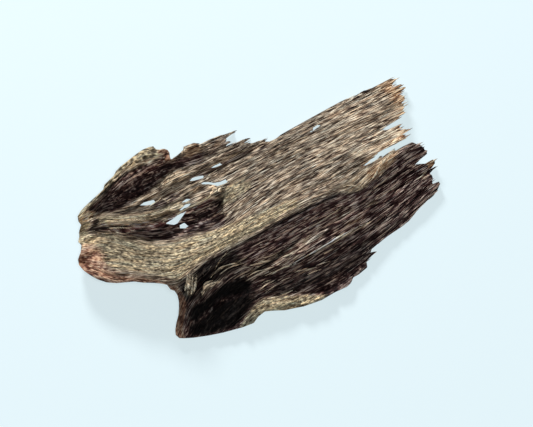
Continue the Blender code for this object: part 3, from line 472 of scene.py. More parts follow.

# How much lighter or darker than its finish each part of the wood is: share, softness and loop. These are
# partly the wood's own tone and partly painted light and shade: the dark shares in the trough, the cavity,
# the gaps and grooves, the knee and lower flank and under the ridge, shelf and lip are painted shade, and the
# large shares on the lip, the knuckle, the rib grooves and the cavity's upper edge are painted light over the
# lamps' shadows
tonesAndPaintedLight = {
    "lipTop": (0.8, 0.8, [(-60.4, 25.4), (-60, 28.3), (-49, 32.2), (-41, 36), (-34, 38.2), (-26, 39.2),
                           (-23.6, 37), (-26, 35), (-30, 35.4), (-38, 35), (-42, 33.4), (-47, 31.6),
                           (-54, 29)]),
    "lipInner": (1.98, 0.8, [(-46, 31.8), (-41, 33.4), (-37, 34.8), (-30, 34.9), (-26, 34.6), (-23.6, 36.2),
                             (-20.4, 35), (-20.6, 31.6), (-27, 30.4), (-35, 31), (-41, 30.4), (-45, 30.6)]),
    "troughCore": (0.6, 0.8, [(-56, 27), (-53, 28.6), (-46, 31), (-41, 30.2), (-35, 30.8), (-27, 30.2),
                               (-21, 31.2), (-18, 29), (-17, 27.2), (-22, 26.6), (-28, 26), (-32, 24.2),
                               (-42, 23.2), (-49, 24.4), (-53, 26.2)]),
    "troughRight": (1.86, 1.2, [(-20.6, 31), (-16, 29.6), (-11, 28.6), (-9, 26), (-12, 24.9), (-18, 25.6),
                               (-17, 27.2), (-18, 29)]),
    "redLobe": (1.07, 0.8, [(-19, 31.2), (-15, 32.4), (-14.4, 33.4), (-10.4, 33), (-8.6, 31.4), (-11, 29),
                           (-16, 29.8)]),
    "topSplinters": (1.07, 1.0, [(-9, 31.4), (4, 30.4), (1, 28), (0, 26), (-10, 25.4), (-10.6, 28.8)]),
    "tonguePale": (1.05, 0.7, [(-28, 25.8), (-23, 26.6), (-18, 25.4), (-10, 25.2), (6, 25.4), (9, 23.4),
                               (2, 22.6), (-10, 22.9), (-19, 22.4), (-28, 22.8)]),
    "upperBandEdge": (1.05, 0.5, [(-43.5, 22.9), (-36, 23.6), (-28, 23.4), (-25, 22), (-31, 21.9),
                                  (-38, 21.9)]),
    "leftKnuckle": (2.36, 0.6, [(-60.4, 25), (-59.6, 27.6), (-55.6, 28), (-53.4, 26.8), (-56.4, 24.8)]),
    "leftMeeting": (1.8, 0.9, [(-64, 19.6), (-62.4, 23.4), (-58, 24.8), (-56.4, 23.6), (-59.8, 21.8),
                               (-58.6, 19.8), (-53, 17.4), (-58, 16.6), (-62.4, 17.2)]),
    "leftEndPink": (1.01, 1.0, [(-67.4, 9.4), (-67.4, 13.4), (-64.4, 16.2), (-60.6, 16.6), (-58.4, 12),
                                (-58, 7), (-62, 7.6)]),
    "crestPale": (0.85, 0.6, [(-56.4, 25.4), (-51.6, 24.6), (-46, 22), (-40, 18.8), (-34, 16.4), (-28, 15.4),
                              (-22, 14.9), (-22, 14.2), (-28, 14.4), (-34, 14.9), (-40, 16.4), (-46, 19),
                              (-52, 22.4)]),
    "bandSlope": (0.36, 0.8, [(-50, 24), (-43, 22.4), (-38, 21.6), (-36, 19.9), (-30, 18), (-27, 15.8),
                              (-34, 16.8), (-40, 19), (-46, 22)]),
    "ribGrooves": (3.02, 0.6, [(-59.6, 22.2), (-56, 24.4), (-52, 22), (-46, 18.6), (-40, 16), (-36, 14.4),
                              (-42, 13.6), (-46, 13.2), (-50, 16), (-54, 18.8)]),
    "pocket": (0.88, 0.6, [(-34, 19.8), (-26, 20.6), (-22.4, 19.4), (-23.8, 17.3), (-28, 16.4), (-33, 17.8)]),
    "middleStrips": (1.18, 1.2, [(-22, 22.2), (-12, 22.4), (2, 22.2), (10, 20.6), (4, 15.4), (-4, 13.8),
                                (-14, 14.6), (-22, 15.6)]),
    "cavityUpper": (3.34, 0.6, [(-38, 13.6), (-31, 12.5), (-24, 12.4), (-12, 12.4), (-12, 10.8), (-22, 11),
                               (-33, 11), (-40, 11.6)]),
    "cavityBlack": (0.62, 0.8, [(-45, 13), (-40, 11.4), (-33, 10.8), (-30, 9.2), (-29, 6), (-34, 5.4),
                                (-37, 7), (-41, 9.6)]),
    "cavityWall": (0.5, 0.5, [(-27, 4.8), (-22, 4.4), (-13.6, 4.2), (-14.4, 1.3), (-20, 1.2), (-26, 3.4)]),
    "cavityRight": (0.9, 0.8, [(-25, 10.8), (-12, 10.8), (-11, 8.4), (-13.4, 4), (-14.8, 1.8), (-20, 2),
                                (-25.6, 4.4), (-25.6, 8)]),
    "endKnobs": (0.59, 0.6, [(-16, 13.6), (-9, 14.6), (-6.4, 13.4), (-7.6, 11.6), (-9.6, 9.6), (-11.4, 11.8),
                            (-16, 12.2)]),
    "plateByWall": (1.05, 0.9, [(-9.6, 11.4), (-6.4, 12.6), (-2, 12.4), (-1, 9), (-4, 3), (-12, 2),
                                (-12.6, 4.6)]),
    "oliveLeft": (0.81, 1.4, [(-58, 16.4), (-52, 16.4), (-46, 11.6), (-40, 7), (-43, 3), (-50, 4),
                              (-57, 9)]),
    "oliveEdge": (1.08, 1.4, [(-56, 6.6), (-50, 3.4), (-42, -1), (-40, -6), (-46, -3.2), (-53, 0.6),
                              (-57, 3.4)]),
    "oliveMid": (1.18, 1.6, [(-42, 6.6), (-36, 4.6), (-31, 3.8), (-30, -2), (-32, -6), (-38, -7),
                             (-42, -2)]),
    "oliveRight": (1.47, 1.4, [(-30, 4.2), (-22, 2.2), (-12, 0.6), (0, -0.8), (0, -5.6), (-14, -6.2),
                               (-24, -6), (-30, -6.4), (-29, -2)]),
    "bandRight": (1.42, 1.4, [(0, -0.8), (14, -1.6), (26, -2.2), (28, -6.4), (14, -6), (0, -5.8)]),
    "plateLow": (1.13, 2.0, [(-10, 2), (0, 8), (14, 9), (26, 6), (28, 0), (14, -1), (0, -0.4)]),
    "plateHigh": (0.89, 2.0, [(-2, 13), (6, 19.6), (18, 20.6), (34, 20.8), (34, 14), (16, 12), (4, 11)]),
    "plateMiddle": (1.26, 2.4, [(26, 13), (44, 13), (46, 3), (30, 2), (24, 7)]),
    "plateFar": (1.36, 2.4, [(36, 21.8), (56, 21.4), (58, 12), (50, 8), (44, 13)]),
    "plateTips": (1.09, 1.2, [(58, 21.4), (67, 20.6), (68, 16), (64, 9), (58, 8)]),
    "tongueTwo": (1.6, 1.2, [(44, 5.4), (52, 5.6), (60, 4.6), (61, 1.2), (58, -0.6), (48, -0.6), (40, 1.4)]),
    "forkDark": (1.01, 0.7, [(28, -0.4), (33, 0.4), (38, 1.2), (39, -1.8), (34, -3.2), (28, -2.4)]),
    "forkSwirl": (0.96, 0.9, [(30, -6.2), (35, -4.2), (41, -4.6), (41, -8), (37, -10.4), (33, -9.2)]),
    "tongueEdge": (1.1, 0.7, [(41, -5.4), (46, -3.6), (53, -3.2), (53, -4.8), (48, -7.6), (42, -9.6)]),
    "tongueDark": (1.28, 1.2, [(53, -4), (61, -4), (64, -8.6), (57, -10.8), (46, -12), (44, -10),
                              (49, -7.2)]),
    "tongueLow": (1.57, 1.4, [(40, -13), (48, -12.4), (58, -11.6), (64, -13.4), (61, -20), (50, -22),
                             (40, -20)]),
    "flankTop": (1.25, 0.7, [(-15, -7.6), (0, -7), (20, -6.8), (30, -8.6), (33, -10.6), (22, -10.4),
                            (0, -10.6), (-14, -11.2)]),
    "flankSecond": (1.69, 1.2, [(-14, -11.4), (0, -11), (20, -11), (33, -11.4), (36, -13.2), (22, -14.4),
                               (6, -14.4), (-4, -16), (-14, -14.6)]),
    "shelfPale": (1.36, 1.2, [(-4, -18.6), (4, -16.2), (16, -15.4), (30, -14.8), (38, -15.4), (38, -20),
                             (24, -20.8), (8, -21.6), (-4, -21.6)]),
    "shelfLeft": (0.73, 0.8, [(-18, -15.2), (-8, -15.8), (0, -17), (-6, -18.4), (-4, -21.4), (-14, -20.6),
                             (-18, -20)]),
    "underSplit": (0.75, 1.0, [(-14, -22.6), (0, -22.8), (14, -23.2), (40, -22.8), (58, -21.6), (50, -24.8),
                              (30, -26.6), (0, -26.8), (-14, -26.2)]),
    "flankLow": (0.32, 1.4, [(-14, -27), (0, -27.6), (28, -27.4), (48, -25.8), (30, -30.6), (28, -33),
                            (8, -34), (-4, -31.6), (-12, -29.2)]),
    "flankLowest": (0.66, 1.2, [(2, -33.6), (28, -33.4), (25, -36.4), (16, -38.8), (9, -38.2), (3, -35.4)]),
    "kneeBlack": (0.2, 0.8, [(-38.4, -10.2), (-35, -9.4), (-31, -9.4), (-27, -7.8), (-18, -8.2), (-14, -8.6),
                             (-14, -15), (-24, -15.8), (-33, -19), (-38.4, -18)]),
    "kneeRibs": (1.63, 0.5, [(-37.8, -14.6), (-33.6, -9.4), (-30.6, -9.4), (-34.6, -15.8), (-37, -16.4)]),
    "bladeBright": (1.86, 0.5, [(-33, -18.2), (-30, -14.8), (-26.6, -15), (-24.6, -16.2), (-28.4, -17)]),
    "lowerBlack": (0.03, 1.6, [(-38, -19), (-33, -19.4), (-24, -17.4), (-18, -18), (-15, -21), (-15, -27),
                               (-20, -24.6), (-28, -22.6), (-38, -26), (-42, -24)]),
    "lowerLeft": (0.05, 1.2, [(-42, -25), (-36, -25.6), (-28, -23), (-20, -24.4), (-15, -27.6), (-20, -30.6),
                              (-26, -33.6), (-34, -32.4), (-43, -29.6)]),
    "hemLeft": (0.81, 0.6, [(-25.6, -34.6), (-20, -31.2), (-15.4, -29), (-14, -32.6), (-19, -34),
                            (-21, -35.4)]),
    "hemRight": (1.38, 0.6, [(-15.2, -29.2), (-10, -30.8), (-3, -32.8), (1, -35.2), (8, -38.2), (3, -39),
                            (-6, -36.8), (-14, -33.4)]),
    "archRim": (0.53, 0.6, [(-55, -1.2), (-47, -4.2), (-42.4, -8.4), (-40.6, -13), (-41.6, -17), (-46.6, -24),
                           (-45.2, -28.4), (-43.8, -25), (-39.6, -18.4), (-38.6, -14), (-40, -9.6),
                           (-44, -5), (-50, -1.4)]),
    "underLip": (0.28, 0.4, [(-50, 30.9), (-46.6, 32.3), (-41, 34.1), (-37, 34.6), (-29.6, 34.3),
                             (-28.4, 33.1), (-31, 33.3), (-37, 33.6), (-42, 32.8), (-47, 31)]),
    "ribGapUpper": (0.1, 0.3, [(-59.6, 21.6), (-57, 22.6), (-55.4, 24.0), (-53.6, 23.8), (-52.6, 22.2),
                               (-54.6, 22.4), (-55.6, 21.4), (-50, 19.2), (-45.4, 17.0), (-46, 16.4),
                               (-51, 18.2), (-56, 20.2)]),
    "ribGapLower": (0.2, 0.3, [(-52, 17.0), (-47, 14.9), (-44, 14.0), (-39, 13.5), (-41, 12.4), (-45.4, 12.9),
                               (-49, 15.2)]),
    "slotGrooveOne": (0.4, 0.3, [(-27, 19.3), (-20, 18.6), (-15, 18.9), (-10, 18.3), (-10, 17.8), (-15, 18.3),
                                 (-21, 17.9), (-27, 18.6)]),
    "slotGrooveTwo": (0.45, 0.3, [(-13, 20.6), (-6, 20.9), (1, 20.5), (8, 20.6), (8, 20.1), (1, 19.9),
                                  (-6, 20.3), (-13, 20.0)]),
    "slotGrooveThree": (0.45, 0.3, [(-8, 19.2), (-2, 19.0), (5, 18.4), (12, 18.3), (5, 17.9), (-2, 18.3)]),
    "slotGrooveFour": (0.45, 0.3, [(-20, 14.4), (-12, 15.0), (-6, 13.9), (2, 13.8), (2, 13.3), (-6, 13.5),
                                   (-12, 14.3)]),
    "tongueGroove": (0.4, 0.3, [(-26, 22.2), (-18, 22.6), (-9, 22.9), (-4, 22.6), (4, 22.5), (4, 22.0),
                                (-4, 22.2), (-12, 22.2), (-20, 21.8)]),
    "ridgeShadow": (0.3, 0.4, [(-16, -7.6), (0, -6.9), (14, -6.7), (28, -7.4), (31, -8.8), (28, -8.4),
                               (14, -7.9), (0, -8.0), (-14, -8.4)]),
    "shelfShadow": (0.35, 0.4, [(-13, -18.6), (-6, -18.2), (-1, -17.7), (5, -16.2), (10, -15.4),
                                (5, -17.0), (-1, -18.5), (-6, -19.2), (-12, -19.1)]),
    "lobeDark": (0.45, 0.5, [(-23.6, 35.8), (-20.8, 36.0), (-20.2, 33.6), (-21.2, 31.2), (-23.0, 31.6),
                             (-22.6, 33.6)]),
    "lobeGap": (0.4, 0.4, [(-28.2, 33.2), (-25.4, 33.9), (-22.8, 33.6), (-23.4, 32.8), (-26, 32.9),
                           (-28, 32.4)]),
    "fanPatch": (0.85, 0.5, [(-29.4, 24.0), (-25.6, 26.2), (-20.8, 26.4), (-18.0, 23.6), (-20.4, 22.4),
                             (-25.6, 23.0)]),
    "wallGap": (0.4, 0.4, [(-12.6, 12.2), (-9.4, 11.0), (-10.6, 8.8), (-12.2, 6.0), (-13.0, 9.0)]),
}


def widened(loop):
    # Each point moved away from the loop's middle by the slots' wear, along the grain and across it
    middleX, middleY = np.mean(loop, axis=0)
    wearX, wearY = sheet["slotWear"]
    return [(x + math.copysign(wearX, x - middleX), y + math.copysign(wearY, y - middleY)) for x, y in loop]


def ragged(x, y):
    # x moved by up to 1.3 mm of noise that is drawn out along the grain, so that borders end in streaks
    return x + 1.3 * smoothStep(-38, -30, x) * cloud(x / 4, y / 0.5, 301)


def tonesAndPaintedLightAt(x, y):
    # The product of 1 + (share - 1) * area over all the named tones: the wood's own tone with painted light
    # and shade
    x = ragged(x, y)
    toneAndPaintedLight = np.ones_like(x)
    for share, soft, loop in tonesAndPaintedLight.values():
        toneAndPaintedLight *= 1 + (share - 1) * area(x, y, loop, soft)
    return toneAndPaintedLight


def mask(x, y, areas):
    # The strongest of the areas at each place
    x = ragged(x, y)
    strongest = np.zeros_like(x)
    for strength, soft, loop in areas.values():
        strongest = np.maximum(strongest, strength * area(x, y, loop, soft))
    return strongest


def bare(x, y):
    # The strongest area of the places kept free of resin and painted shade: the pale hem, the wall of the
    # arch and the lobe's end
    loops = (mossAreas["hemPale"][2], rimAreas["archWall"][2], rimAreas["lobeEnd"][2])
    return np.max([area(x, y, loop, 0.8) for loop in loops], axis=0)


def finishes(x, y):
    # Resin with painted shade, moss and broken wood at each place, with little of the first where the wood is
    # bare
    resinAndShade = mask(x, y, resinAndShadeAreas) * (1 - 0.9 * bare(x, y))
    return resinAndShade, mask(x, y, mossAreas), mask(x, y, rimAreas)


def grainY(x, label):
    # y on the grain line with that label: straight between the two named lines on each side of it
    lines = np.array([curveThrough(x, line) for line in grainLines])
    i = np.clip(np.searchsorted(grainLabels, label) - 1, 0, len(grainLabels) - 2)
    share = (label - grainLabels[i]) / (grainLabels[i + 1] - grainLabels[i])
    above = np.take_along_axis(lines, i[None], 0)[0]
    below = np.take_along_axis(lines, i[None] + 1, 0)[0]
    return above + share * (below - above)


def labelLines():
    # A label for each grain line: millimetres across the grain, each strip counted where it is widest
    x = np.linspace(-62, 66, 60)
    lines = np.array([curveThrough(x, line) for line in grainLines])
    gaps = lines[:-1] - lines[1:]
    seen = np.zeros(gaps.shape, bool)
    for share in (0.05, 0.3, 0.5, 0.7, 0.95):
        seen |= insideLoop(np.broadcast_to(x, gaps.shape), lines[:-1] - share * gaps, outline)
    return np.concatenate([[0], np.cumsum(np.where(seen, gaps, 0).max(axis=1))])


def shingles(along, across, length, width, seed):
    # Broken strips that lap over each other: a steep rise at the side towards +y, then a slow fall
    random = np.random.default_rng(seed)
    level = random.uniform(0, 1, (256, 256))
    begin = random.uniform(0, 97, 256)
    order = across / width + 0.6 * cloud(along / (2.2 * length), across / (2.5 * width), seed + 1)
    strip = np.floor(order).astype(int)
    share = order - strip
    run = along / length + begin[strip % 256]
    part = np.floor(run).astype(int)
    ends = smoothStep(0, 0.12, run - part) * smoothStep(1, 0.8, run - part)
    return level[strip % 256, part % 256] * ends * smoothStep(0, 0.16, share) * (1 - share) ** 0.7


# Which of the named crests and hollows are knobbly, and how much
knobbly = {
    "endKnobs": 1.0,
    "lip": 1.0,
    "lipShoulder": 0.9,
    "lobeStep": 1.0,
    "redLobe": 0.9,
    "crestBand": 0.55,
    "crestBandLow": 0.55,
    "upperBand": 0.7,
    "endWall": 1.0,
    "slotStrip": 0.6,
    "kneeRib": 0.5,
    "shelfBlade": 0.5,
    "hem": 0.6,
    "cavity": 0.5,
    "trough": 0.35,
    "lowerPit": 0.5,
}


def ruggedness(x, y):
    # The strongest of the knobbly crests at each place
    strongest = np.zeros_like(x)
    for name, strength in knobbly.items():
        _, sharpness, path = relief[name]
        strongest = np.maximum(strongest, strength * swell(x, y, sharpness, path))
    return strongest


# Bundles and shingles: length along the grain, width across it and seed
fibreSizes = {
    "wide": (14, 2.3, 11),
    "middle": (9, 1.1, 23),
    "narrow": (5.5, 0.62, 37),
    "short": (4.5, 0.7, 41),
    "broadShingle": (16, 3.1, 71),
    "narrowShingle": (12, 1.1, 73),
}


def fineRelief(x, y, along, label, areas):
    # Millimetres added to the top: broken fibre bundles, finer bundles on them, shingles where it is dark,
    # knobs on the crests, grains on the olive band, and the named cracks. The finest part is also given alone
    resinAndShade, moss, broken = areas
    crumb = mask(x, y, crumbAreas)
    rugged = ruggedness(x, y)
    smooth = np.maximum(moss, broken)
    calm = smoothStep(-14, -4, x) * (1 - resinAndShade) * (1 - smooth)
    rough = (0.62 + 0.45 * resinAndShade) * (1 - 0.65 * smooth) * (1 - 0.5 * calm) + 0.5 * rugged
    wide, wideRound = bundles(along, label, *fibreSizes["wide"])
    middle, middleRound = bundles(along, label, *fibreSizes["middle"])
    narrow, narrowRound = bundles(along, label, *fibreSizes["narrow"])
    height = rough * (1 - 0.85 * calm) * (0.26 * wide + 0.24 * wideRound + 0.26 * middle + 0.26 * middleRound)
    height += 0.4 * rough * (1 - 0.8 * calm) * cloud(along / 9, label / 2.2, 51) - 0.5 * rough
    height += resinAndShade * (0.75 * shingles(along, label, *fibreSizes["broadShingle"]) - 0.35)
    height *= 1 - 0.75 * crumb
    knobs = 1 - 2.2 * np.abs(cloud(along / 2.6, label / 1.5, 81))
    height += rugged * 0.75 * knobs + broken * 0.7 * cloud(x / 2.4, y / 2.2, 95)

    detail = (0.3 + 0.8 * rough + 0.3 * calm) * (0.17 * narrow + 0.19 * narrowRound - 0.1)
    wavy = label + 0.35 * cloud(along / 1.8, label / 1.4, 44)
    short, shortRound = bundles(along, wavy, *fibreSizes["short"])
    detail += calm * (0.17 * short + 0.17 * shortRound - 0.12)
    detail += resinAndShade * (0.75 * shingles(along, label, *fibreSizes["narrowShingle"]) - 0.12)
    detail = detail * (1 - 0.75 * crumb) + crumb * 0.35 * cloud(along / 1.2, label / 0.8, 101)
    detail += crumb * 0.35 * cloud(along / 0.7, label / 0.5, 103)
    detail += rugged * 0.5 * cloud(along / 1.1, label / 0.7, 83)
    coarseGrains, fineGrains = cloud(along / 1.7, label / 0.9, 91), cloud(along / 0.9, label / 0.5, 93)
    detail += smooth * (0.20 * coarseGrains + 0.24 * fineGrains)
    detail += broken * 0.4 * cloud(x / 1.0, y / 0.9, 96)
    for depth, halfWidth, path in cracks.values():
        detail -= depth * groove(x, y, halfWidth, path)
    return height + detail, detail


def heights(x, y, fine):
    # The top, and the underside, which follows the top less and never reaches below the surface it rests on
    plain = foldHeight(x, y)
    large = largeRelief(x, y)
    top = np.maximum(plain + large, sheet["thinnest"]) + fine
    under = np.minimum(plain + sheet["undersideFollows"] * large - sheet["thickness"],
                       plain + large - sheet["thinnest"])
    return np.maximum(top, sheet["lowestTop"]), np.maximum(np.minimum(under, top - sheet["leastLeft"]), 0)


def sightFrame():
    # Turns x along the grain, y across it and z towards the eye into the solid's own frame
    return toHeading @ (toPitch @ Matrix.Rotation(sight["grainTurn"], 4, "Z"))


def place(x, y, height):
    # Drawn millimetres and a height to metres in the solid's frame: the depth along the line of sight
    # is (height - up.x x - up.y y) / up.z
    turn = np.array(sightFrame())[:3, :3]
    depth = (height - turn[2, 0] * x - turn[2, 1] * y) / turn[2, 2]
    return (np.stack([x, y, depth], -1) @ turn.T + np.array(sight["solidMove"])) * mm


def newObject(name, points, faces, marks, grain, bake):
    # One mesh from arrays: corner points, four-cornered faces, a value per point for each mark, the grain's
    # own map and the map for baking. Points that no face uses are left out, and none is below the floor
    used, faces = np.unique(faces, return_inverse=True)
    faces = faces.reshape(-1, 4)
    points, grain, bake = points[used], grain[used], bake[used]
    points[:, 2] = np.maximum(points[:, 2], 0)
    mesh = bpy.data.meshes.new(name)
    mesh.vertices.add(len(points))
    mesh.vertices.foreach_set("co", points.astype(np.float32).ravel())
    mesh.loops.add(faces.size)
    mesh.loops.foreach_set("vertex_index", faces.astype(np.int32).ravel())
    mesh.polygons.add(len(faces))
    mesh.polygons.foreach_set("loop_start", np.arange(0, faces.size, 4, dtype=np.int32))
    mesh.update(calc_edges=True)
    for mark, values in marks.items():
        attribute = mesh.attributes.new(mark, "FLOAT", "POINT")
        attribute.data.foreach_set("value", values[used].astype(np.float32))
    for title, places in (("grain", grain), ("OFBake", bake)):
        layer = mesh.uv_layers.new(name=title)
        layer.data.foreach_set("uv", places[faces.ravel()].astype(np.float32).ravel())
    mesh.uv_layers["grain"].active = True
    mesh.validate()
    mesh.shade_smooth()
    piece = bpy.data.objects.new(name, mesh)
    bpy.context.scene.collection.objects.link(piece)
    return piece


wornSlots = {name: widened(loop) for name, loop in slots.items()}
grainLabels = labelLines()
columns = np.arange(sheet["xRange"][0], sheet["xRange"][1], sheet["cellAlong"])
rows = np.arange(0, grainLabels[-1], sheet["cellAcross"])
gridX, gridLabel = np.meshgrid(columns, rows, indexing="ij")
gridY = grainY(gridX, gridLabel)
print("grain grid:", gridX.shape)

# Fibres end unevenly: each shifts the outline along the grain by its own length
bundleEnds = cloud(np.full_like(gridX, 3), gridLabel / 0.9, 5)
fibreEnds = cloud(np.full_like(gridX, 9), gridLabel / 0.45, 6)
shift = sheet["ragged"] * (bundleEnds + 0.5 * fibreEnds)
shift *= smoothStep(-12, -3, gridX) * (1 - 0.5 * smoothStep(10, 0, np.abs(gridX - 20)))
shift *= 0.4 + 0.6 * smoothStep(-3.6, -2.6, gridY)


def keptCells():
    # The cells whose middle is in the wood, each as its four corners' numbers
    middle = [(a[:-1, :-1] + a[1:, :-1] + a[1:, 1:] + a[:-1, 1:]) / 4 for a in (gridX + shift, gridY)]
    kept = insideWood(*middle)
    number = np.arange(gridX.size).reshape(gridX.shape)
    cells = np.stack([number[:-1, :-1], number[:-1, 1:], number[1:, 1:], number[1:, :-1]], -1)
    return cells[kept]


def edgesOf(faces):
    # The edges that only one face has, in that face's direction
    starts, ends = faces, np.roll(faces, -1, axis=1)
    pairs = np.stack([starts.ravel(), ends.ravel()], 1)
    size = faces.max() + 1
    forward = pairs[:, 0] * size + pairs[:, 1]
    backward = pairs[:, 1] * size + pairs[:, 0]
    return pairs[~np.isin(forward, backward)]


def inwardFrom(x, y, faces):
    # At each corner, the direction of length 1 towards the middles of the cells round it
    inward = np.zeros((len(x), 2))
    centre = np.stack([x[faces].mean(1), y[faces].mean(1)], 1)
    for corner in range(4):
        np.add.at(inward, faces[:, corner], centre - np.stack([x[faces[:, corner]], y[faces[:, corner]]], 1))
    return inward / np.maximum(np.linalg.norm(inward, axis=1, keepdims=True), 1e-6)


def wornSheet():
    # The sheet: the grid's cells in the wood at their heights, once for the top and once for the underside,
    # corners on the edge moved to the outline, and rows of a worn rim between the two sides
    faces = keptCells()
    used, faces = np.unique(faces, return_inverse=True)
    faces = faces.reshape(-1, 4)
    x, y, label = gridX.ravel()[used], gridY.ravel()[used], gridLabel.ravel()[used]
    moved = shift.ravel()[used]
    edges = edgesOf(faces)
    rim = np.unique(edges)
    distance, nearX, nearY = toLoops(x[rim] + moved[rim], y[rim], [outline] + list(wornSlots.values()))
    pull = np.where(distance < sheet["snapReach"], 1.0, 0.0)
    x[rim] += pull * (nearX - moved[rim] - x[rim])
    y[rim] += pull * (nearY - y[rim])

    resinAndShade, moss, broken = finishes(x, y)
    raw, pale = mask(x, y, rawAreas), mask(x, y, paleAreas)
    fine, detail = fineRelief(x, y, x, label, (resinAndShade, moss, broken))
    top, under = heights(x, y, fine)
    count = len(x)

    # The rim: rows of points between the two sides, worn back by a random share
    inward = inwardFrom(x, y, faces)
    onMap = [np.stack([x, y], 1)] * 2
    xs, ys, zs, labels = [x, x], [y, y], [top, under], [label, label]
    for row in range(1, sheet["rimRows"] + 1):
        share = row / (sheet["rimRows"] + 1)
        wear = sheet["rimWear"] * (0.5 + 0.5 * cloud(x[rim] / 1.1 + 7 * row, y[rim] / 0.5, 61 + row))
        wear *= np.minimum(1, (top[rim] - under[rim]) / 3)
        xs.append(x[rim] + wear * inward[rim, 0])
        ys.append(y[rim] + wear * inward[rim, 1])
        zs.append(top[rim] * (1 - share) + under[rim] * share)
        labels.append(label[rim])
        onMap.append(onMap[0][rim] - row * sheet["rimBand"] * inward[rim])
    rowNumbers = 2 * count + np.arange(sheet["rimRows"] * len(rim)).reshape(-1, len(rim))
    rings = [rim, *rowNumbers, rim + count]
    sides = [faces]
    start, end = np.searchsorted(rim, edges[:, 0]), np.searchsorted(rim, edges[:, 1])
    for upper, lower in zip(rings[:-1], rings[1:]):
        sides.append(np.stack([upper[end], upper[start], lower[start], lower[end]], 1))
    allX, allY, allZ = np.concatenate(xs), np.concatenate(ys), np.concatenate(zs)
    allLabel = np.concatenate(labels)
    repeats = [np.arange(count), np.arange(count)] + [rim] * sheet["rimRows"]
    source = np.concatenate(repeats)
    isUnder = np.zeros(len(allX))
    isUnder[count:2 * count] = 1
    onRim = np.zeros(len(allX))
    onRim[2 * count:] = 1

    # how high each point stands in the relief, from 0 to 1, with the finest part counted most; the colours
    # take it as painted shade in the hollows and painted highlight on the crests
    crest = np.clip(0.5 + (0.5 * (fine - detail) + 1.7 * detail) / 1.3, 0, 1)
    marks = {
        "resinAndShade": resinAndShade[source] * (1 - 0.5 * isUnder),
        "moss": moss[source] * (1 - isUnder),
        "broken": np.maximum(broken[source], 0.35 * onRim),
        "raw": np.maximum(raw[source], 0.3 * onRim * (1 - resinAndShade[source])),
        "pale": pale[source],
        "crest": np.where(isUnder + onRim > 0, 0.5, crest[source]),
        # painted light and shade along with the wood's own tone, from the named tones
        "toneAndPaintedLight": tonesAndPaintedLightAt(x, y)[source],
        "crumb": mask(x, y, crumbAreas)[source],
    }
    points = place(allX, allY, allZ)
    grain = np.stack([allX / 100, (allLabel + 2.5 * onRim * (allZ / 3)) / 100], 1)
    # on the map for baking the rim's rows lie outside the top's edge, one narrow band after another
    onMap = np.concatenate(onMap)
    onMap[rim + count] -= (sheet["rimRows"] + 1) * sheet["rimBand"] * inward[rim]
    bake = (onMap + (70, 45)) / (142, 90)
    upper = newObject("woodSheet", points, np.concatenate(sides), marks, grain, bake)
    return upper, newObject("woodUnderside", points, faces[:, ::-1] + count, marks, grain, bake)


def tubeFaces(number):
    # Four-sided tubes from the numbers of their points by tube, station and side, closed at both ends
    sides = [np.stack([number[:, :-1, i], number[:, 1:, i], number[:, 1:, j], number[:, :-1, j]], -1)
             for i, j in ((0, 1), (1, 2), (2, 3), (3, 0))]
    ends = [number[:, 0, :], number[:, -1, ::-1]]
    return np.concatenate([part.reshape(-1, 4) for part in sides] + ends)


# The loose splinters of the surface, and the fibres past the torn ends
splinters = {
    "count": 2600,
    "triesEach": 6,
    "length": (4.0, 17.0),
    "width": (0.18, 0.48),
    "lift": 0.75,
    "margin": 0.35,  # wood beside a splinter, all along it
    "stations": 6,
    "seed": 8,
}
endFibres = {
    "count": 300,
    "triesEach": 40,
    "length": (2.5, 7.0),
    "beyond": (0.1, 0.62),
    "width": (0.2, 0.55),
    "lift": 0.5,
    "ahead": 0.9,  # no wood is left this far past a fibre's tip
    "darkBelow": -3,  # y below which the tongues are dark, with only a share of the fibres
    "darkShare": 0.2,
    "stations": 5,
    "seed": 15,
}


def aroundTube(values):
    # A value for each station, repeated for the four sides of its tube
    return np.repeat(values[:, :, None], 4, 2).ravel()


def fibreMesh(name, start, label, length, width, lift, tone, stations):
    # Many thin fibres as one mesh. Each follows its grain line from its start, with a four-sided section
    # of half width w sin(pi s)^0.5 and a lift of h s^2 above the surface, s from 0 to 1 along it
    s = np.linspace(0, 1, stations)[None, :]
    x = start[:, None] + length[:, None] * s
    lines = np.broadcast_to(label[:, None], x.shape)
    y = grainY(x, lines)
    resinAndShade, moss, broken = finishes(x, y)
    top, _ = heights(x, y, fineRelief(x, y, x, lines, (resinAndShade, moss, broken))[0])
    half = width[:, None] / 2 * (0.06 + 0.94 * np.maximum(np.sin(np.pi * s), 0) ** 0.5)
    rise = lift[:, None] * s**2 + 0.1
    sides = [(1, 0), (0, 0.75), (-1, 0), (0, -0.9)]
    points = np.stack([place(x, y + across * half, top + rise + up * half) for across, up in sides], 2)
    count = len(start)
    faces = tubeFaces(np.arange(count * stations * 4).reshape(count, stations, 4))
    each = np.repeat(tone, stations * 4)
    marks = {
        "resinAndShade": aroundTube(resinAndShade) * 0.8,
        "moss": aroundTube(moss),
        "broken": aroundTube(broken),
        "raw": aroundTube(mask(x, y, rawAreas)),
        "pale": np.clip(aroundTube(mask(x, y, paleAreas)) + 0.15 * each, 0, 1),
        "crest": np.clip(0.58 + 0.32 * each, 0, 1),
        # painted light and shade along with the wood's own tone, from the named tones
        "toneAndPaintedLight": aroundTube(tonesAndPaintedLightAt(x, y)),
        "crumb": np.zeros(len(each)),
    }
    grain = np.stack([aroundTube(x) / 100, aroundTube(lines) / 100 + each * 0.7], 1)
    # on the map for baking each fibre has a cell of its own
    perRow = 60
    column, row = np.arange(count) % perRow, np.arange(count) // perRow
    cellWide, cellTall = 1 / perRow, 1 / (count // perRow + 1)
    bakeX = (column[:, None, None] + 0.1 + 0.8 * s[:, :, None]) * cellWide
    bakeY = (row[:, None, None] + 0.1 + 0.26 * np.arange(4)) * cellTall
    bake = np.stack(np.broadcast_arrays(bakeX, bakeY), -1).reshape(-1, 2)
    return newObject(name, points.reshape(-1, 3), faces, marks, grain, bake)


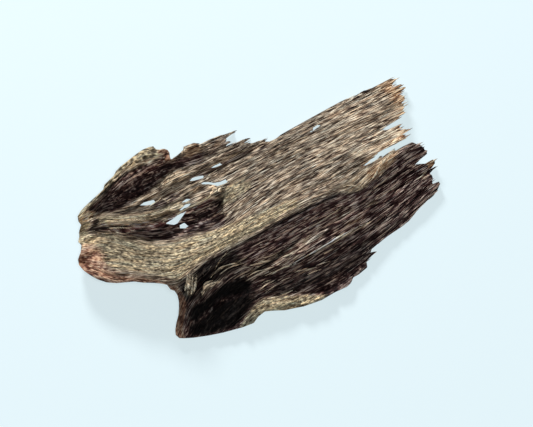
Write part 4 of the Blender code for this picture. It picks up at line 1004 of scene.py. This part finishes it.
# Thin blades that stand out of the wood one by one: width, height, paleness and path
blades = {
    "kneeOne": (0.95, 0.6, 0.9, [(-37.5, -14.5), (-35.6, -12.0), (-33.6, -9.0)]),
    "kneeTwo": (0.95, 0.8, 1.0, [(-36.9, -15.5), (-34.9, -12.4), (-32.8, -9.1)]),
    "kneeThree": (0.90, 0.8, 1.0, [(-35.9, -15.9), (-34.0, -12.9), (-31.8, -9.4)]),
    "kneeFour": (0.80, 0.6, 0.8, [(-34.9, -15.9), (-33.0, -13.2), (-30.8, -9.8)]),
    "fanOne": (0.45, 0.7, 0.75, [(-26.4, -11.0), (-22.4, -8.4), (-18.4, -7.2)]),
    "fanTwo": (0.50, 0.8, 0.8, [(-24.4, -11.8), (-20.6, -9.4), (-16.6, -7.8)]),
    "fanThree": (0.40, 0.6, 0.6, [(-29.0, -11.6), (-26.4, -8.6), (-24.0, -7.0)]),
    "upperBlade": (0.75, 1.0, 0.85, [(-27.4, -13.8), (-22.6, -12.3), (-18.4, -12.6), (-14.6, -14.0)]),
    "upperBladeLow": (0.45, 0.7, 0.7, [(-24.0, -14.2), (-19.0, -13.6), (-13.6, -14.6)]),
    "patchOne": (0.95, 0.9, 1.0, [(-31.4, -16.2), (-29.4, -14.9), (-27.0, -15.0), (-24.8, -15.9)]),
    "patchTwo": (0.95, 0.9, 0.9, [(-32.6, -17.4), (-30.2, -15.9), (-28.0, -15.7), (-25.4, -16.2)]),
    "patchThree": (0.75, 0.8, 0.8, [(-33.2, -18.3), (-30.8, -17.0), (-28.4, -16.5), (-26.4, -16.5)]),
    "longLip": (0.7, 1.0, 0.75, [(-17.5, -15.8), (-12, -16.4), (-6, -17.6), (-1.6, -18.0)]),
    "longLipUpper": (0.4, 0.7, 0.7, [(-16, -14.8), (-9, -15.4), (-4, -16.6), (1, -16.4)]),
    "shelfEdge": (0.6, 0.9, 0.8, [(-17.6, -19.9), (-12, -19.4), (-6.6, -20.3), (-4, -20.6)]),
    "shelfEdgeTwo": (0.4, 0.7, 0.6, [(-5, -20.4), (1, -21.2), (8, -20.6)]),
    "shelfMiddle": (0.4, 0.7, 0.6, [(4, -17.6), (9, -17.2), (15, -16.8)]),
    "fanPatchOne": (0.5, 0.5, 1.0, [(-29.4, 24.0), (-26, 25.5), (-22.8, 26.6)]),
    "fanPatchTwo": (0.5, 0.6, 1.0, [(-28.2, 23.6), (-24.6, 24.9), (-21.0, 26.1)]),
    "fanPatchThree": (0.5, 0.5, 0.9, [(-27.0, 23.2), (-23, 24.1), (-19.6, 24.9)]),
    "fanPatchFour": (0.5, 0.5, 0.8, [(-25.6, 22.8), (-22, 23.2), (-18.2, 23.4)]),
    "shelfUpper": (0.55, 0.7, 0.6, [(8, -13.4), (16, -13.8), (24, -13.0), (31, -11.6)]),
    "ridgeEdge": (0.40, 0.4, 0.9, [(-17.4, -7.0), (-10, -6.9), (-2, -6.5), (8, -6.2), (20, -6.2),
                                   (28, -6.9)]),
    "splitLip": (0.5, 1.1, 1.3, [(1.0, -22.7), (8, -22.4), (14, -22.1), (22, -21.6), (29, -21.6),
                                 (34.5, -22.0)]),
    "splitLipLeft": (0.5, 0.7, 0.8, [(-8, -22.6), (-2, -22.4), (4, -23.2)]),
    "hemLine": (0.45, 0.8, 0.9, [(-15.2, -28.6), (-9.5, -30.6), (-4, -31.2), (0.5, -31.2)]),
    "dashOne": (0.45, 0.7, 0.7, [(-13.5, -25.6), (-10, -25.2), (-6.5, -25.0)]),
    "dashTwo": (0.45, 0.7, 0.7, [(3.0, -27.0), (6, -27.3), (9.5, -27.8)]),
    "dashThree": (0.40, 0.6, 0.7, [(-2, -25.6), (2, -25.9), (6.5, -26.6)]),
    "dashFour": (0.40, 0.6, 0.6, [(9.0, -27.2), (12, -27.6), (16, -28.4)]),
    "dashFive": (0.45, 0.7, 0.6, [(-12, -27.6), (-8, -26.9), (-3, -27.4)]),
    "dashSix": (0.40, 0.7, 0.8, [(-13.4, -24.3), (-10.4, -24.0), (-7.6, -24.4)]),
    "dashSeven": (0.35, 0.6, 0.7, [(-6.5, -26.6), (-3.6, -26.4), (-1, -26.8)]),
    "dashEight": (0.35, 0.6, 0.6, [(4, -28.6), (7, -28.8), (10.5, -29.2)]),
    "dashNine": (0.40, 0.7, 0.8, [(-10, -22.2), (-6.4, -22.0), (-3.4, -22.3)]),
    "dashTen": (0.35, 0.6, 0.6, [(12, -24.6), (15.5, -24.8), (19, -24.7)]),
    "dashEleven": (0.40, 0.7, 0.7, [(-15.6, -17.6), (-12, -17.4), (-8.6, -18.2)]),
    "dashTwelve": (0.40, 0.7, 0.8, [(-4, -19.2), (0, -19.0), (4.4, -19.4)]),
    "dashThirteen": (0.40, 0.7, 0.8, [(2, -21.8), (6, -21.4), (11, -21.6)]),
    "rimKnobOne": (1.1, 0.8, 0.8, [(-33.8, 11.8), (-32.4, 12.4), (-31.0, 12.3)]),
    "rimKnobTwo": (1.0, 0.8, 0.7, [(-25.4, 12.3), (-24.4, 12.5), (-23.4, 12.4)]),
    "rimKnobThree": (0.9, 0.8, 0.7, [(-17.0, 12.6), (-15.9, 12.9), (-14.8, 12.9)]),
    "rimKnobFour": (1.1, 0.9, 0.8, [(-13.6, 12.8), (-12.8, 13.3), (-12.0, 13.3)]),
    "rimKnobFive": (1.2, 0.9, 0.9, [(-12.2, 14.0), (-11.3, 14.3), (-10.4, 13.9)]),
    "rimKnobSix": (1.1, 0.9, 0.8, [(-10.4, 12.7), (-9.5, 13.2), (-8.6, 13.1)]),
    "rimKnobSeven": (1.0, 0.8, 0.8, [(-8.4, 13.0), (-7.5, 13.4), (-6.6, 13.1)]),
    "rimKnobEight": (0.9, 0.7, 0.7, [(-9.8, 11.3), (-9.0, 12.0), (-8.2, 12.0)]),
    "tongueLine": (0.5, 0.8, 0.55, [(38, -12.2), (46, -11.0), (54, -10.6)]),
    "tongueLineLow": (0.5, 0.8, 0.5, [(35, -16.0), (42, -15.4), (50, -14.8)]),
    "cavityRim": (0.65, 0.8, 0.8, [(-35.2, 12.2), (-31.4, 12.1), (-26.4, 12.5), (-21, 12.5), (-15.6, 12.4),
                                   (-10.8, 13.4), (-6.4, 13.2)]),
    "cavityLineOne": (0.40, 0.8, 0.55, [(-24.6, 10.8), (-20, 10.0), (-16, 9.9), (-12.6, 10.8)]),
    "cavityLineTwo": (0.35, 0.6, 0.45, [(-22, 8.8), (-18.4, 9.2), (-15, 8.3), (-12.2, 8.8)]),
    "leftRibOne": (0.50, 0.9, 0.8, [(-60.4, 21.4), (-55, 20.0), (-49.4, 17.9), (-44.2, 15.2), (-38.6, 13.9)]),
    "leftRibTwo": (0.50, 0.9, 0.7, [(-58.6, 19.7), (-52.6, 17.3), (-47.4, 14.5), (-43.6, 14.4)]),
    "leftRibThree": (0.40, 0.8, 0.6, [(-52.0, 16.2), (-48.2, 13.6), (-45.0, 12.0)]),
    "crestEdge": (0.75, 0.9, 1.0, [(-56.4, 24.9), (-50.4, 21.0), (-44.4, 18.4), (-38.6, 15.8),
                                   (-33.0, 14.4)]),
    "crestEdgeTwo": (0.45, 0.7, 0.8, [(-40, 17.4), (-34.6, 15.8), (-28, 14.9), (-22, 14.6)]),
    "upperBandEdge": (0.55, 0.9, 0.9, [(-43.2, 22.5), (-37.0, 22.9), (-31.0, 23.0), (-26.6, 22.5),
                                       (-23.6, 21.4)]),
    "ledge": (0.45, 0.8, 0.8, [(-36.4, 19.2), (-32.4, 19.7), (-29.6, 20.4)]),
    "chip": (0.9, 0.8, 0.9, [(-30.2, 20.2), (-29.4, 19.2), (-28.7, 17.9)]),
    "slotLipOne": (0.45, 0.7, 0.7, [(-27, 18.2), (-21, 19.2), (-14, 19.4), (-6, 20.4)]),
    "slotLipTwo": (0.40, 0.7, 0.7, [(-22, 16.6), (-17, 17.4), (-14, 19.0)]),
    "slotLipThree": (0.45, 0.7, 0.7, [(-12, 14.4), (-8.6, 14.2), (-4.4, 14.2), (2, 14.6)]),
    "tongueLip": (0.55, 0.8, 0.8, [(-20, 22.9), (-12, 22.6), (-4, 22.4), (5, 22.4)]),
    "lipCrest": (0.75, 0.9, 0.9, [(-38.4, 34.8), (-34.6, 35.0), (-30.4, 34.7), (-28.4, 33.4)]),
    "lipCrestFar": (0.55, 0.8, 0.8, [(-44, 33.4), (-40.6, 34.0), (-36.0, 36.2), (-31, 36.6)]),
    "lipKnob": (0.7, 0.9, 0.7, [(-27.6, 32.2), (-24.8, 31.4), (-22.6, 31.6)]),
    "redEdge": (0.6, 0.9, 0.8, [(-20, 31.2), (-16, 31.4), (-13.4, 32.6)]),
    "forkSwirlOne": (0.55, 0.8, 0.8, [(29, -5.8), (33.4, -7.0), (36.0, -9.4), (40, -10.2)]),
    "forkSwirlTwo": (0.50, 0.8, 0.8, [(31, -8.8), (35, -9.8), (38.6, -8.6), (43.5, -7.6)]),
    "forkRidge": (0.9, 1.0, 1.0, [(40, -9.0), (43.4, -7.4), (47.0, -5.2), (51.6, -3.6)]),
    "forkRidgeLow": (0.6, 0.8, 0.8, [(42, -9.8), (46.4, -8.0), (51.0, -6.2)]),
}


# Painted highlight: how much lighter than its finish a blade is, where that isn't the share in bladeForm
bladePaintedHighlights = {
    "splitLip": 3.6,
    "splitLipLeft": 1.6,
    "chip": 1.3,
    "cavityRim": 1.4,
    "ridgeEdge": 1.3,
    "hemLine": 1.3,
}
bladeForm = {
    "widths": 1.25,  # times the named widths
    "heights": 1.2,  # times the named heights
    "fine": 0.6,  # share of the finest relief that a blade follows
    # painted highlight that lightens every blade, and more so the knee's and patches' blades
    "toneAndPaintedLight": 1.15,
    "kneePaintedHighlight": 1.2,
    "stations": 26,
}


def bladeMesh(stations):
    # Each blade along a smooth curve through its path: half width w (sin pi s)^0.6, made uneven by noise,
    # and a ridge of height h (sin pi s)^0.6 that leans towards the far side
    parts = {"points": [], "marks": [], "grain": []}
    s = np.linspace(0, 1, stations)
    swelling = np.sin(np.pi * s) ** 0.6
    labels = np.linspace(0, grainLabels[-1], 200)
    for i, (width, height, paleness, path) in enumerate(blades.values()):
        knots = np.linspace(0, 1, len(path))
        x = curveThrough(s, list(zip(knots, [point[0] for point in path])))
        y = curveThrough(s, list(zip(knots, [point[1] for point in path])))
        runX, runY = np.gradient(x), np.gradient(y)
        long = np.hypot(runX, runY)
        acrossX, acrossY = -runY / long, runX / long
        uneven = 1 + 0.6 * cloud(s * long.sum() / 2.4 + 31 * i, s * 0, 201)
        dip = np.maximum(0, 1.1 * cloud(s * long.sum() / 3.6 + 13 * i, s * 0, 205) - 0.1)
        half = bladeForm["widths"] * width / 2 * (0.08 + 0.92 * swelling) * uneven
        label = np.interp(-y, -grainY(np.full(len(labels), x[stations // 2]), labels), labels)
        marks = [mask(x, y, areas) for areas in (resinAndShadeAreas, mossAreas, rimAreas, rawAreas)]
        top, _ = heights(x, y, bladeForm["fine"] * fineRelief(x, y, x, label, marks[:3])[0])
        crest = bladeForm["heights"] * height * swelling * (1 + 0.4 * cloud(s * 7 + 17 * i, s * 0, 203))
        for across, up in ((1, -0.35), (0.3, 1.0), (-1, -0.35), (0, -0.9)):
            parts["points"].append(place(x + across * half * acrossX, y + across * half * acrossY,
                                         top + up * crest - dip))
            # the top side is lighter than the others: a painted highlight
            crestAndTopHighlight = 0.95 if up > 0 else 0.55
            parts["marks"].append(marks + [np.full(stations, paleness), np.full(stations, crestAndTopHighlight)])
            parts["grain"].append(np.stack([x / 100, label / 100 + across * half / 100], 1))
    count = len(blades)
    points = np.array(parts["points"]).reshape(count, 4, stations, 3).transpose(0, 2, 1, 3).reshape(-1, 3)
    marks = np.array(parts["marks"]).reshape(count, 4, 6, stations).transpose(2, 0, 3, 1).reshape(6, -1)
    grain = np.array(parts["grain"]).reshape(count, 4, stations, 2).transpose(0, 2, 1, 3).reshape(-1, 2)
    faces = tubeFaces(np.arange(count * stations * 4).reshape(count, stations, 4))
    # on the map for baking each blade has a row of its own
    bakeX = s[None, :, None] * 0.9 + 0.05
    bakeY = (np.arange(count)[:, None, None] + 0.15 + 0.2 * np.arange(4)) / count
    bake = np.stack(np.broadcast_arrays(bakeX, bakeY), -1)
    named = dict(zip(("resinAndShade", "moss", "broken", "raw", "pale", "crest"), marks))
    # painted highlight: each blade's colour made lighter, as if lit
    paintedHighlights = [bladeForm["kneePaintedHighlight"] if name.startswith(("knee", "patch"))
              else bladePaintedHighlights.get(name, bladeForm["toneAndPaintedLight"]) for name in blades]
    named["toneAndPaintedLight"], named["crumb"] = np.repeat(paintedHighlights, 4 * stations), np.zeros(len(points))
    return newObject("woodBlades", points, faces, named, grain, bake.reshape(-1, 2))


def surfaceSplinters():
    # Splinters at random places that lie wholly in the wood, fewer where it is mossy, crumbled or even
    random = np.random.default_rng(splinters["seed"])
    many = splinters["count"] * splinters["triesEach"]
    start, label = random.uniform(-64, 62, many), random.uniform(0, grainLabels[-1], many)
    length = random.uniform(*splinters["length"], many) * (1 - 0.4 * smoothStep(-20, -50, start))
    tone, width = random.uniform(-1, 1, many), random.uniform(*splinters["width"], many)
    lift = splinters["lift"] * random.uniform(0, 1, many) ** 2
    places = [start + share * length for share in (0, 0.2, 0.4, 0.6, 0.8, 1)]
    inside = np.ones(many, bool)
    for at in places:
        for margin in (splinters["margin"], -splinters["margin"]):
            inside &= insideWood(at, grainY(at, label) + margin)
    middle = places[2], grainY(places[2], label)
    covered = np.maximum(0.75 * mask(*middle, mossAreas), 0.9 * mask(*middle, crumbAreas))
    covered = np.maximum(covered, 0.5 * smoothStep(-8, 0, middle[0]) * smoothStep(-6, -2, middle[1]))
    wanted = inside & (random.uniform(0, 1, many) > covered)
    chosen = np.flatnonzero(wanted)[:splinters["count"]]
    return fibreMesh("surfaceSplinters", start[chosen], label[chosen], length[chosen], width[chosen],
                     lift[chosen], tone[chosen], splinters["stations"])


def brokenEnds():
    # Fibres that stick out past the torn ends on the right, from places where the wood ends just ahead
    random = np.random.default_rng(endFibres["seed"])
    many = endFibres["count"] * endFibres["triesEach"]
    tip, label = random.uniform(-10, 67, many), random.uniform(0, grainLabels[-1], many)
    length = random.uniform(*endFibres["length"], many)
    beyond = random.uniform(*endFibres["beyond"], many) * length
    lineY, ahead, root = grainY(tip, label), tip + endFibres["ahead"], tip - length + beyond
    wanted = insideWood(tip, lineY) & ~insideLoop(ahead, grainY(ahead, label), outline)
    wanted &= insideWood(root, grainY(root, label))
    wanted &= (lineY > endFibres["darkBelow"]) | (random.uniform(0, 1, many) < endFibres["darkShare"])
    chosen = np.flatnonzero(wanted)[:endFibres["count"]]
    start = tip[chosen] - length[chosen] + beyond[chosen]
    return fibreMesh("brokenEnds", start, label[chosen], length[chosen],
                     random.uniform(*endFibres["width"], len(chosen)),
                     endFibres["lift"] * random.uniform(-0.6, 1, len(chosen)),
                     random.uniform(-0.4, 1, len(chosen)), endFibres["stations"])


def addNode(tree, kind, inputs=None, **settings):
    # A shader node with its settings, and its inputs linked or set
    node = tree.nodes.new(kind)
    for name, value in settings.items():
        setattr(node, name, value)
    for key, value in (inputs or {}).items():
        if isinstance(value, bpy.types.NodeSocket):
            tree.links.new(value, node.inputs[key])
        else:
            node.inputs[key].default_value = value
    return node


def math2(tree, operation, a, b=0.0, clamp=False):
    # A sum, product or share of two values
    return addNode(tree, "ShaderNodeMath", {0: a, 1: b}, operation=operation, use_clamp=clamp).outputs[0]


def blend(tree, share, a, b, kind="MIX"):
    # The colour a, turned into b by that share
    node = addNode(tree, "ShaderNodeMix", {0: share, 6: a, 7: b}, data_type="RGBA", blend_type=kind)
    return node.outputs[2]


def ramp(tree, value, stops):
    # The colour for a value, straight between the named stops
    node = addNode(tree, "ShaderNodeValToRGB", {0: value})
    while len(node.color_ramp.elements) < len(stops):
        node.color_ramp.elements.new(0.5)
    for element, (position, colour) in zip(node.color_ramp.elements, stops):
        element.position = position
        element.color = (*colour, 1)
    return node.outputs[0]


def fibreStreaks():
    # Streaks along the grain from the grain's own map, at three widths: lengths and widths in millimetres
    group = bpy.data.node_groups.new("fibreStreaks", "ShaderNodeTree")
    for name in ("Length", "Width"):
        group.interface.new_socket(name, in_out="INPUT", socket_type="NodeSocketFloat")
    for name in ("Broad", "Fine", "Hair"):
        group.interface.new_socket(name, in_out="OUTPUT", socket_type="NodeSocketFloat")
    given, result = group.nodes.new("NodeGroupInput"), group.nodes.new("NodeGroupOutput")
    grain = addNode(group, "ShaderNodeUVMap", uv_map="grain").outputs[0]
    for i, (name, finer) in enumerate((("Broad", 1.0), ("Fine", 2.2), ("Hair", 4.2))):
        along = math2(group, "DIVIDE", 100 * finer**0.5, given.outputs["Length"])
        across = math2(group, "DIVIDE", 100 * finer, given.outputs["Width"])
        size = addNode(group, "ShaderNodeCombineXYZ", {0: along, 1: across, 2: 1.0}).outputs[0]
        at = addNode(group, "ShaderNodeVectorMath", {0: grain, 1: size}, operation="MULTIPLY").outputs[0]
        noise = addNode(group, "ShaderNodeTexNoise", {"Vector": at, "Scale": 1.0, "Detail": 1.0,
                                                      "Roughness": 0.5, "Distortion": 0.25}).outputs["Fac"]
        spread = addNode(group, "ShaderNodeMapRange", {0: noise, 1: 0.27, 2: 0.73, 3: 0.0, 4: 1.0}).outputs[0]
        group.links.new(spread, result.inputs[i])
    return group


# Each finish from its darkest streak to its lightest: place from 0 to 1, and colour
woodLooks = {
    "plate": [(0.0, (0.014, 0.008, 0.007)), (0.30, (0.075, 0.051, 0.038)), (0.55, (0.194, 0.153, 0.117)),
              (0.80, (0.36, 0.30, 0.228)), (1.0, (0.61, 0.53, 0.42))],
    # the resin colours, which also paint shade into the hollows
    "resinAndShade": [(0.0, (0.0032, 0.0010, 0.0012)), (0.36, (0.022, 0.0075, 0.0078)),
              (0.60, (0.067, 0.0350, 0.034)), (0.80, (0.192, 0.130, 0.118)), (1.0, (0.46, 0.38, 0.33))],
    "moss": [(0.0, (0.030, 0.021, 0.014)), (0.30, (0.131, 0.106, 0.072)), (0.56, (0.248, 0.213, 0.152)),
             (0.80, (0.41, 0.350, 0.238)), (1.0, (0.66, 0.56, 0.37))],
    "broken": [(0.0, (0.034, 0.012, 0.009)), (0.34, (0.165, 0.076, 0.052)), (0.62, (0.345, 0.200, 0.138)),
               (1.0, (0.64, 0.47, 0.34))],
    "raw": [(0.0, (0.030, 0.012, 0.007)), (0.34, (0.170, 0.084, 0.042)), (0.66, (0.43, 0.280, 0.165)),
            (1.0, (0.74, 0.60, 0.42))],
    "pale": [(0.0, (0.020, 0.012, 0.009)), (0.38, (0.225, 0.165, 0.115)), (0.70, (0.48, 0.395, 0.285)),
             (1.0, (0.78, 0.68, 0.52))],
}


# Streaks in millimetres, as length and width, how much the relief's height (painted shade in hollows,
# painted highlight on crests) and each streak count in a shade, and the surface
streakLooks = {
    "sheet": (9, 1.3),
    "loose": (10, 0.9),
    "grains": (1.8, 1.1),
    "short": (7.0, 0.95),
    "toneCrest": 0.8,
    "toneStreaks": (0.9, 1.5),
    "grainyCrest": 0.8,
    "grainyStreaks": (0.35, 0.80, 0.50),
    "fibrousCrest": 0.55,
    "fibrousStreaks": (1.1, 1.2),
    "roughness": (0.62, 0.9),  # in the dark streaks and in the light ones
    "shine": 0.12,
    "bumpStrength": 0.9,
    "bumpHeight": 0.00022,
}


def streakNode(tree, streaks, size):
    # The streaks' group with its length and width set, and its outputs from broad to hair
    group = addNode(tree, "ShaderNodeGroup", node_tree=streaks)
    group.inputs["Length"].default_value, group.inputs["Width"].default_value = size
    return group.outputs


def shadeValue(tree, crest, crestWeight, values, weights):
    # 0.5 + crestWeight (crest - 0.5) + the sum of weight (value - 0.5)
    total = math2(tree, "MULTIPLY_ADD", crest, crestWeight)
    total.node.inputs[2].default_value = 0.5 - 0.5 * (crestWeight + sum(weights))
    for value, weight in zip(values, weights):
        total = math2(tree, "ADD", total, math2(tree, "MULTIPLY", value, weight))
    return total


def woodMaterial(name, streaks, size):
    # Colours from the streaks and the height in the relief, chosen area by area; borders broken by streaks.
    # The height paints shade into the hollows and highlight onto the crests
    material = bpy.data.materials.new(name)
    material.use_nodes = True
    tree = material.node_tree
    shader = tree.nodes["Principled BSDF"]
    broad, fine, hair = streakNode(tree, streaks, size)
    grains = streakNode(tree, streaks, streakLooks["grains"])
    _, shortFine, shortHair = streakNode(tree, streaks, streakLooks["short"])
    marks = {mark: addNode(tree, "ShaderNodeAttribute", attribute_name=mark).outputs["Fac"]
             for mark in ("resinAndShade", "moss", "broken", "raw", "pale", "crest", "toneAndPaintedLight", "crumb")}
    crest = marks["crest"]
    tone = shadeValue(tree, crest, streakLooks["toneCrest"], (fine, hair), streakLooks["toneStreaks"])
    grainy = shadeValue(tree, crest, streakLooks["grainyCrest"], grains, streakLooks["grainyStreaks"])
    fibrous = shadeValue(tree, crest, streakLooks["fibrousCrest"], (shortFine, shortHair),
                         streakLooks["fibrousStreaks"])
    uneven = math2(tree, "SUBTRACT", math2(tree, "ADD", math2(tree, "MULTIPLY", broad, 0.45),
                                           math2(tree, "MULTIPLY", fine, 0.45)), 0.45)
    colour = ramp(tree, fibrous, woodLooks["plate"])
    crumbled = blend(tree, marks["crumb"], tone, grainy)
    for mark in ("moss", "broken", "resinAndShade", "raw", "pale"):
        breakUp = math2(tree, "MULTIPLY", uneven, 0.4 if mark == "resinAndShade" else 0.8)
        share = math2(tree, "ADD", marks[mark], breakUp)
        share = addNode(tree, "ShaderNodeMapRange", {0: share, 1: 0.28, 2: 0.62, 3: 0.0, 4: 1.0}).outputs[0]
        share = math2(tree, "MINIMUM", share, math2(tree, "MULTIPLY", marks[mark], 1.25), clamp=True)
        value = grainy if mark in ("moss", "broken") else fibrous if mark == "raw" else crumbled
        colour = blend(tree, share, colour, ramp(tree, value, woodLooks[mark]))
    warm = blend(tree, broad, (1.14, 0.97, 0.82, 1), (0.90, 1.0, 1.06, 1))
    colour = blend(tree, 1.0, colour, warm, "MULTIPLY")
    # the named tones multiply in painted light and shade along with the wood's own tone
    colour = blend(tree, 1.0, colour, marks["toneAndPaintedLight"], "MULTIPLY")
    colour.node.clamp_result = True
    tree.links.new(colour, shader.inputs["Base Color"])
    low, high = streakLooks["roughness"]
    rough = addNode(tree, "ShaderNodeMapRange", {0: tone, 1: 0.0, 2: 1.0, 3: low, 4: high}).outputs[0]
    tree.links.new(rough, shader.inputs["Roughness"])
    shader.inputs["Specular IOR Level"].default_value = streakLooks["shine"]
    bumpHeight = math2(tree, "ADD", math2(tree, "MULTIPLY", fine, 0.6), math2(tree, "MULTIPLY", hair, 0.4))
    bump = addNode(tree, "ShaderNodeBump", {"Height": bumpHeight, "Strength": streakLooks["bumpStrength"],
                                            "Distance": streakLooks["bumpHeight"]})
    tree.links.new(bump.outputs[0], shader.inputs["Normal"])
    return material


view = {
    "lens": 350,
    "sensor": 36,
    "imageWidth": 533,
    "pixelsPerMm": 2.75,
    "aim": (2.36, -1.27, 6.0),  # the picture's middle, right and up in the drawn view, and towards the eye
    "clip": (0.05, 20),
}


def makeCamera():
    # On the line of sight, as far off as its lens needs to show the picture's width
    turn = toHeading @ toPitch
    aim = turn @ (Vector(view["aim"]) * mm) + Vector(sight["solidMove"]) * mm
    distance = view["imageWidth"] / view["pixelsPerMm"] * mm * view["lens"] / view["sensor"]
    data = bpy.data.cameras.new("camera")
    data.lens, data.sensor_width = view["lens"], view["sensor"]
    data.clip_start, data.clip_end = view["clip"]
    camera = bpy.data.objects.new("camera", data)
    camera.matrix_world = Matrix.Translation(aim + distance * (turn.to_3x3() @ Vector((0, 0, 1)))) @ turn
    bpy.context.scene.collection.objects.link(camera)
    bpy.context.scene.camera = camera
    return turn


studio = {
    "keyFrom": (-0.30, 0.86, 0.68),  # right, away from the eye and up, in the view's heading
    "keyDistance": 0.9,
    "keySize": 0.26,
    "keyPower": 9.5,
    "fillFrom": (0.05, 0.02, 1),  # right, up and towards the eye, in the view
    "fillDistance": 1.3,
    "fillPower": 6.5,
    "fillSize": 0.14,
    "air": (0.80, 0.90, 1.0),
    "airStrength": 0.10,
    "floor": (0.20, 0.235, 0.25),
    "floorGlow": (0.560, 0.660, 0.690),
    "floorReach": 3,
}


def areaLight(name, direction, distance, size, power):
    # A round lamp in that direction, which shines at the middle
    data = bpy.data.lights.new(name, "AREA")
    data.shape, data.size, data.energy = "DISK", size, power
    light = bpy.data.objects.new(name, data)
    light.location = Vector(direction).normalized() * distance
    light.rotation_euler = Vector(direction).to_track_quat("Z", "Y").to_euler()
    bpy.context.scene.collection.objects.link(light)


def makeStudio(turn):
    # Two lamps, the air's own light and a pale floor
    areaLight("keyLight", toHeading.to_3x3() @ Vector(studio["keyFrom"]), studio["keyDistance"],
              studio["keySize"], studio["keyPower"])
    areaLight("fillLight", turn.to_3x3() @ Vector(studio["fillFrom"]), studio["fillDistance"],
              studio["fillSize"], studio["fillPower"])
    world = bpy.data.worlds.new("air")
    world.use_nodes = True
    background = world.node_tree.nodes["Background"]
    background.inputs["Color"].default_value = (*studio["air"], 1)
    background.inputs["Strength"].default_value = studio["airStrength"]
    bpy.context.scene.world = world
    bpy.context.scene.view_settings.view_transform = "Standard"
    mesh = bpy.data.meshes.new("floor")
    reach = studio["floorReach"]
    corners = [(-reach, -reach, 0), (reach, -reach, 0), (reach, reach, 0), (-reach, reach, 0)]
    mesh.from_pydata(corners, [], [(0, 1, 2, 3)])
    floor = bpy.data.objects.new("floor", mesh)
    bpy.context.scene.collection.objects.link(floor)
    material = bpy.data.materials.new("paleFloor")
    material.use_nodes = True
    shader = material.node_tree.nodes["Principled BSDF"]
    shader.inputs["Base Color"].default_value = (*studio["floor"], 1)
    shader.inputs["Roughness"].default_value = 0.9
    # a faint glow, as of a light table, so that the slots show bright against it
    shader.inputs["Emission Color"].default_value = (*studio["floorGlow"], 1)
    shader.inputs["Emission Strength"].default_value = 1.0
    mesh.materials.append(material)


streaks = fibreStreaks()
upper, under = wornSheet()
sheetWood = woodMaterial("weatheredWood", streaks, streakLooks["sheet"])
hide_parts("agarwood_piece")
for side in (upper, under):
    side.data.materials.append(sheetWood)
    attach(side, "root")
    print(side.name + ":", len(side.data.polygons) * 2, "triangles")

for loose in (surfaceSplinters(), brokenEnds(), bladeMesh(bladeForm["stations"])):
    loose.data.materials.append(woodMaterial(loose.name + "Wood", streaks, streakLooks["loose"]))
    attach(loose, "root")
    print(loose.name + ":", len(loose.data.polygons) * 2, "triangles")

makeStudio(makeCamera())
print("camera, lamps and floor made")
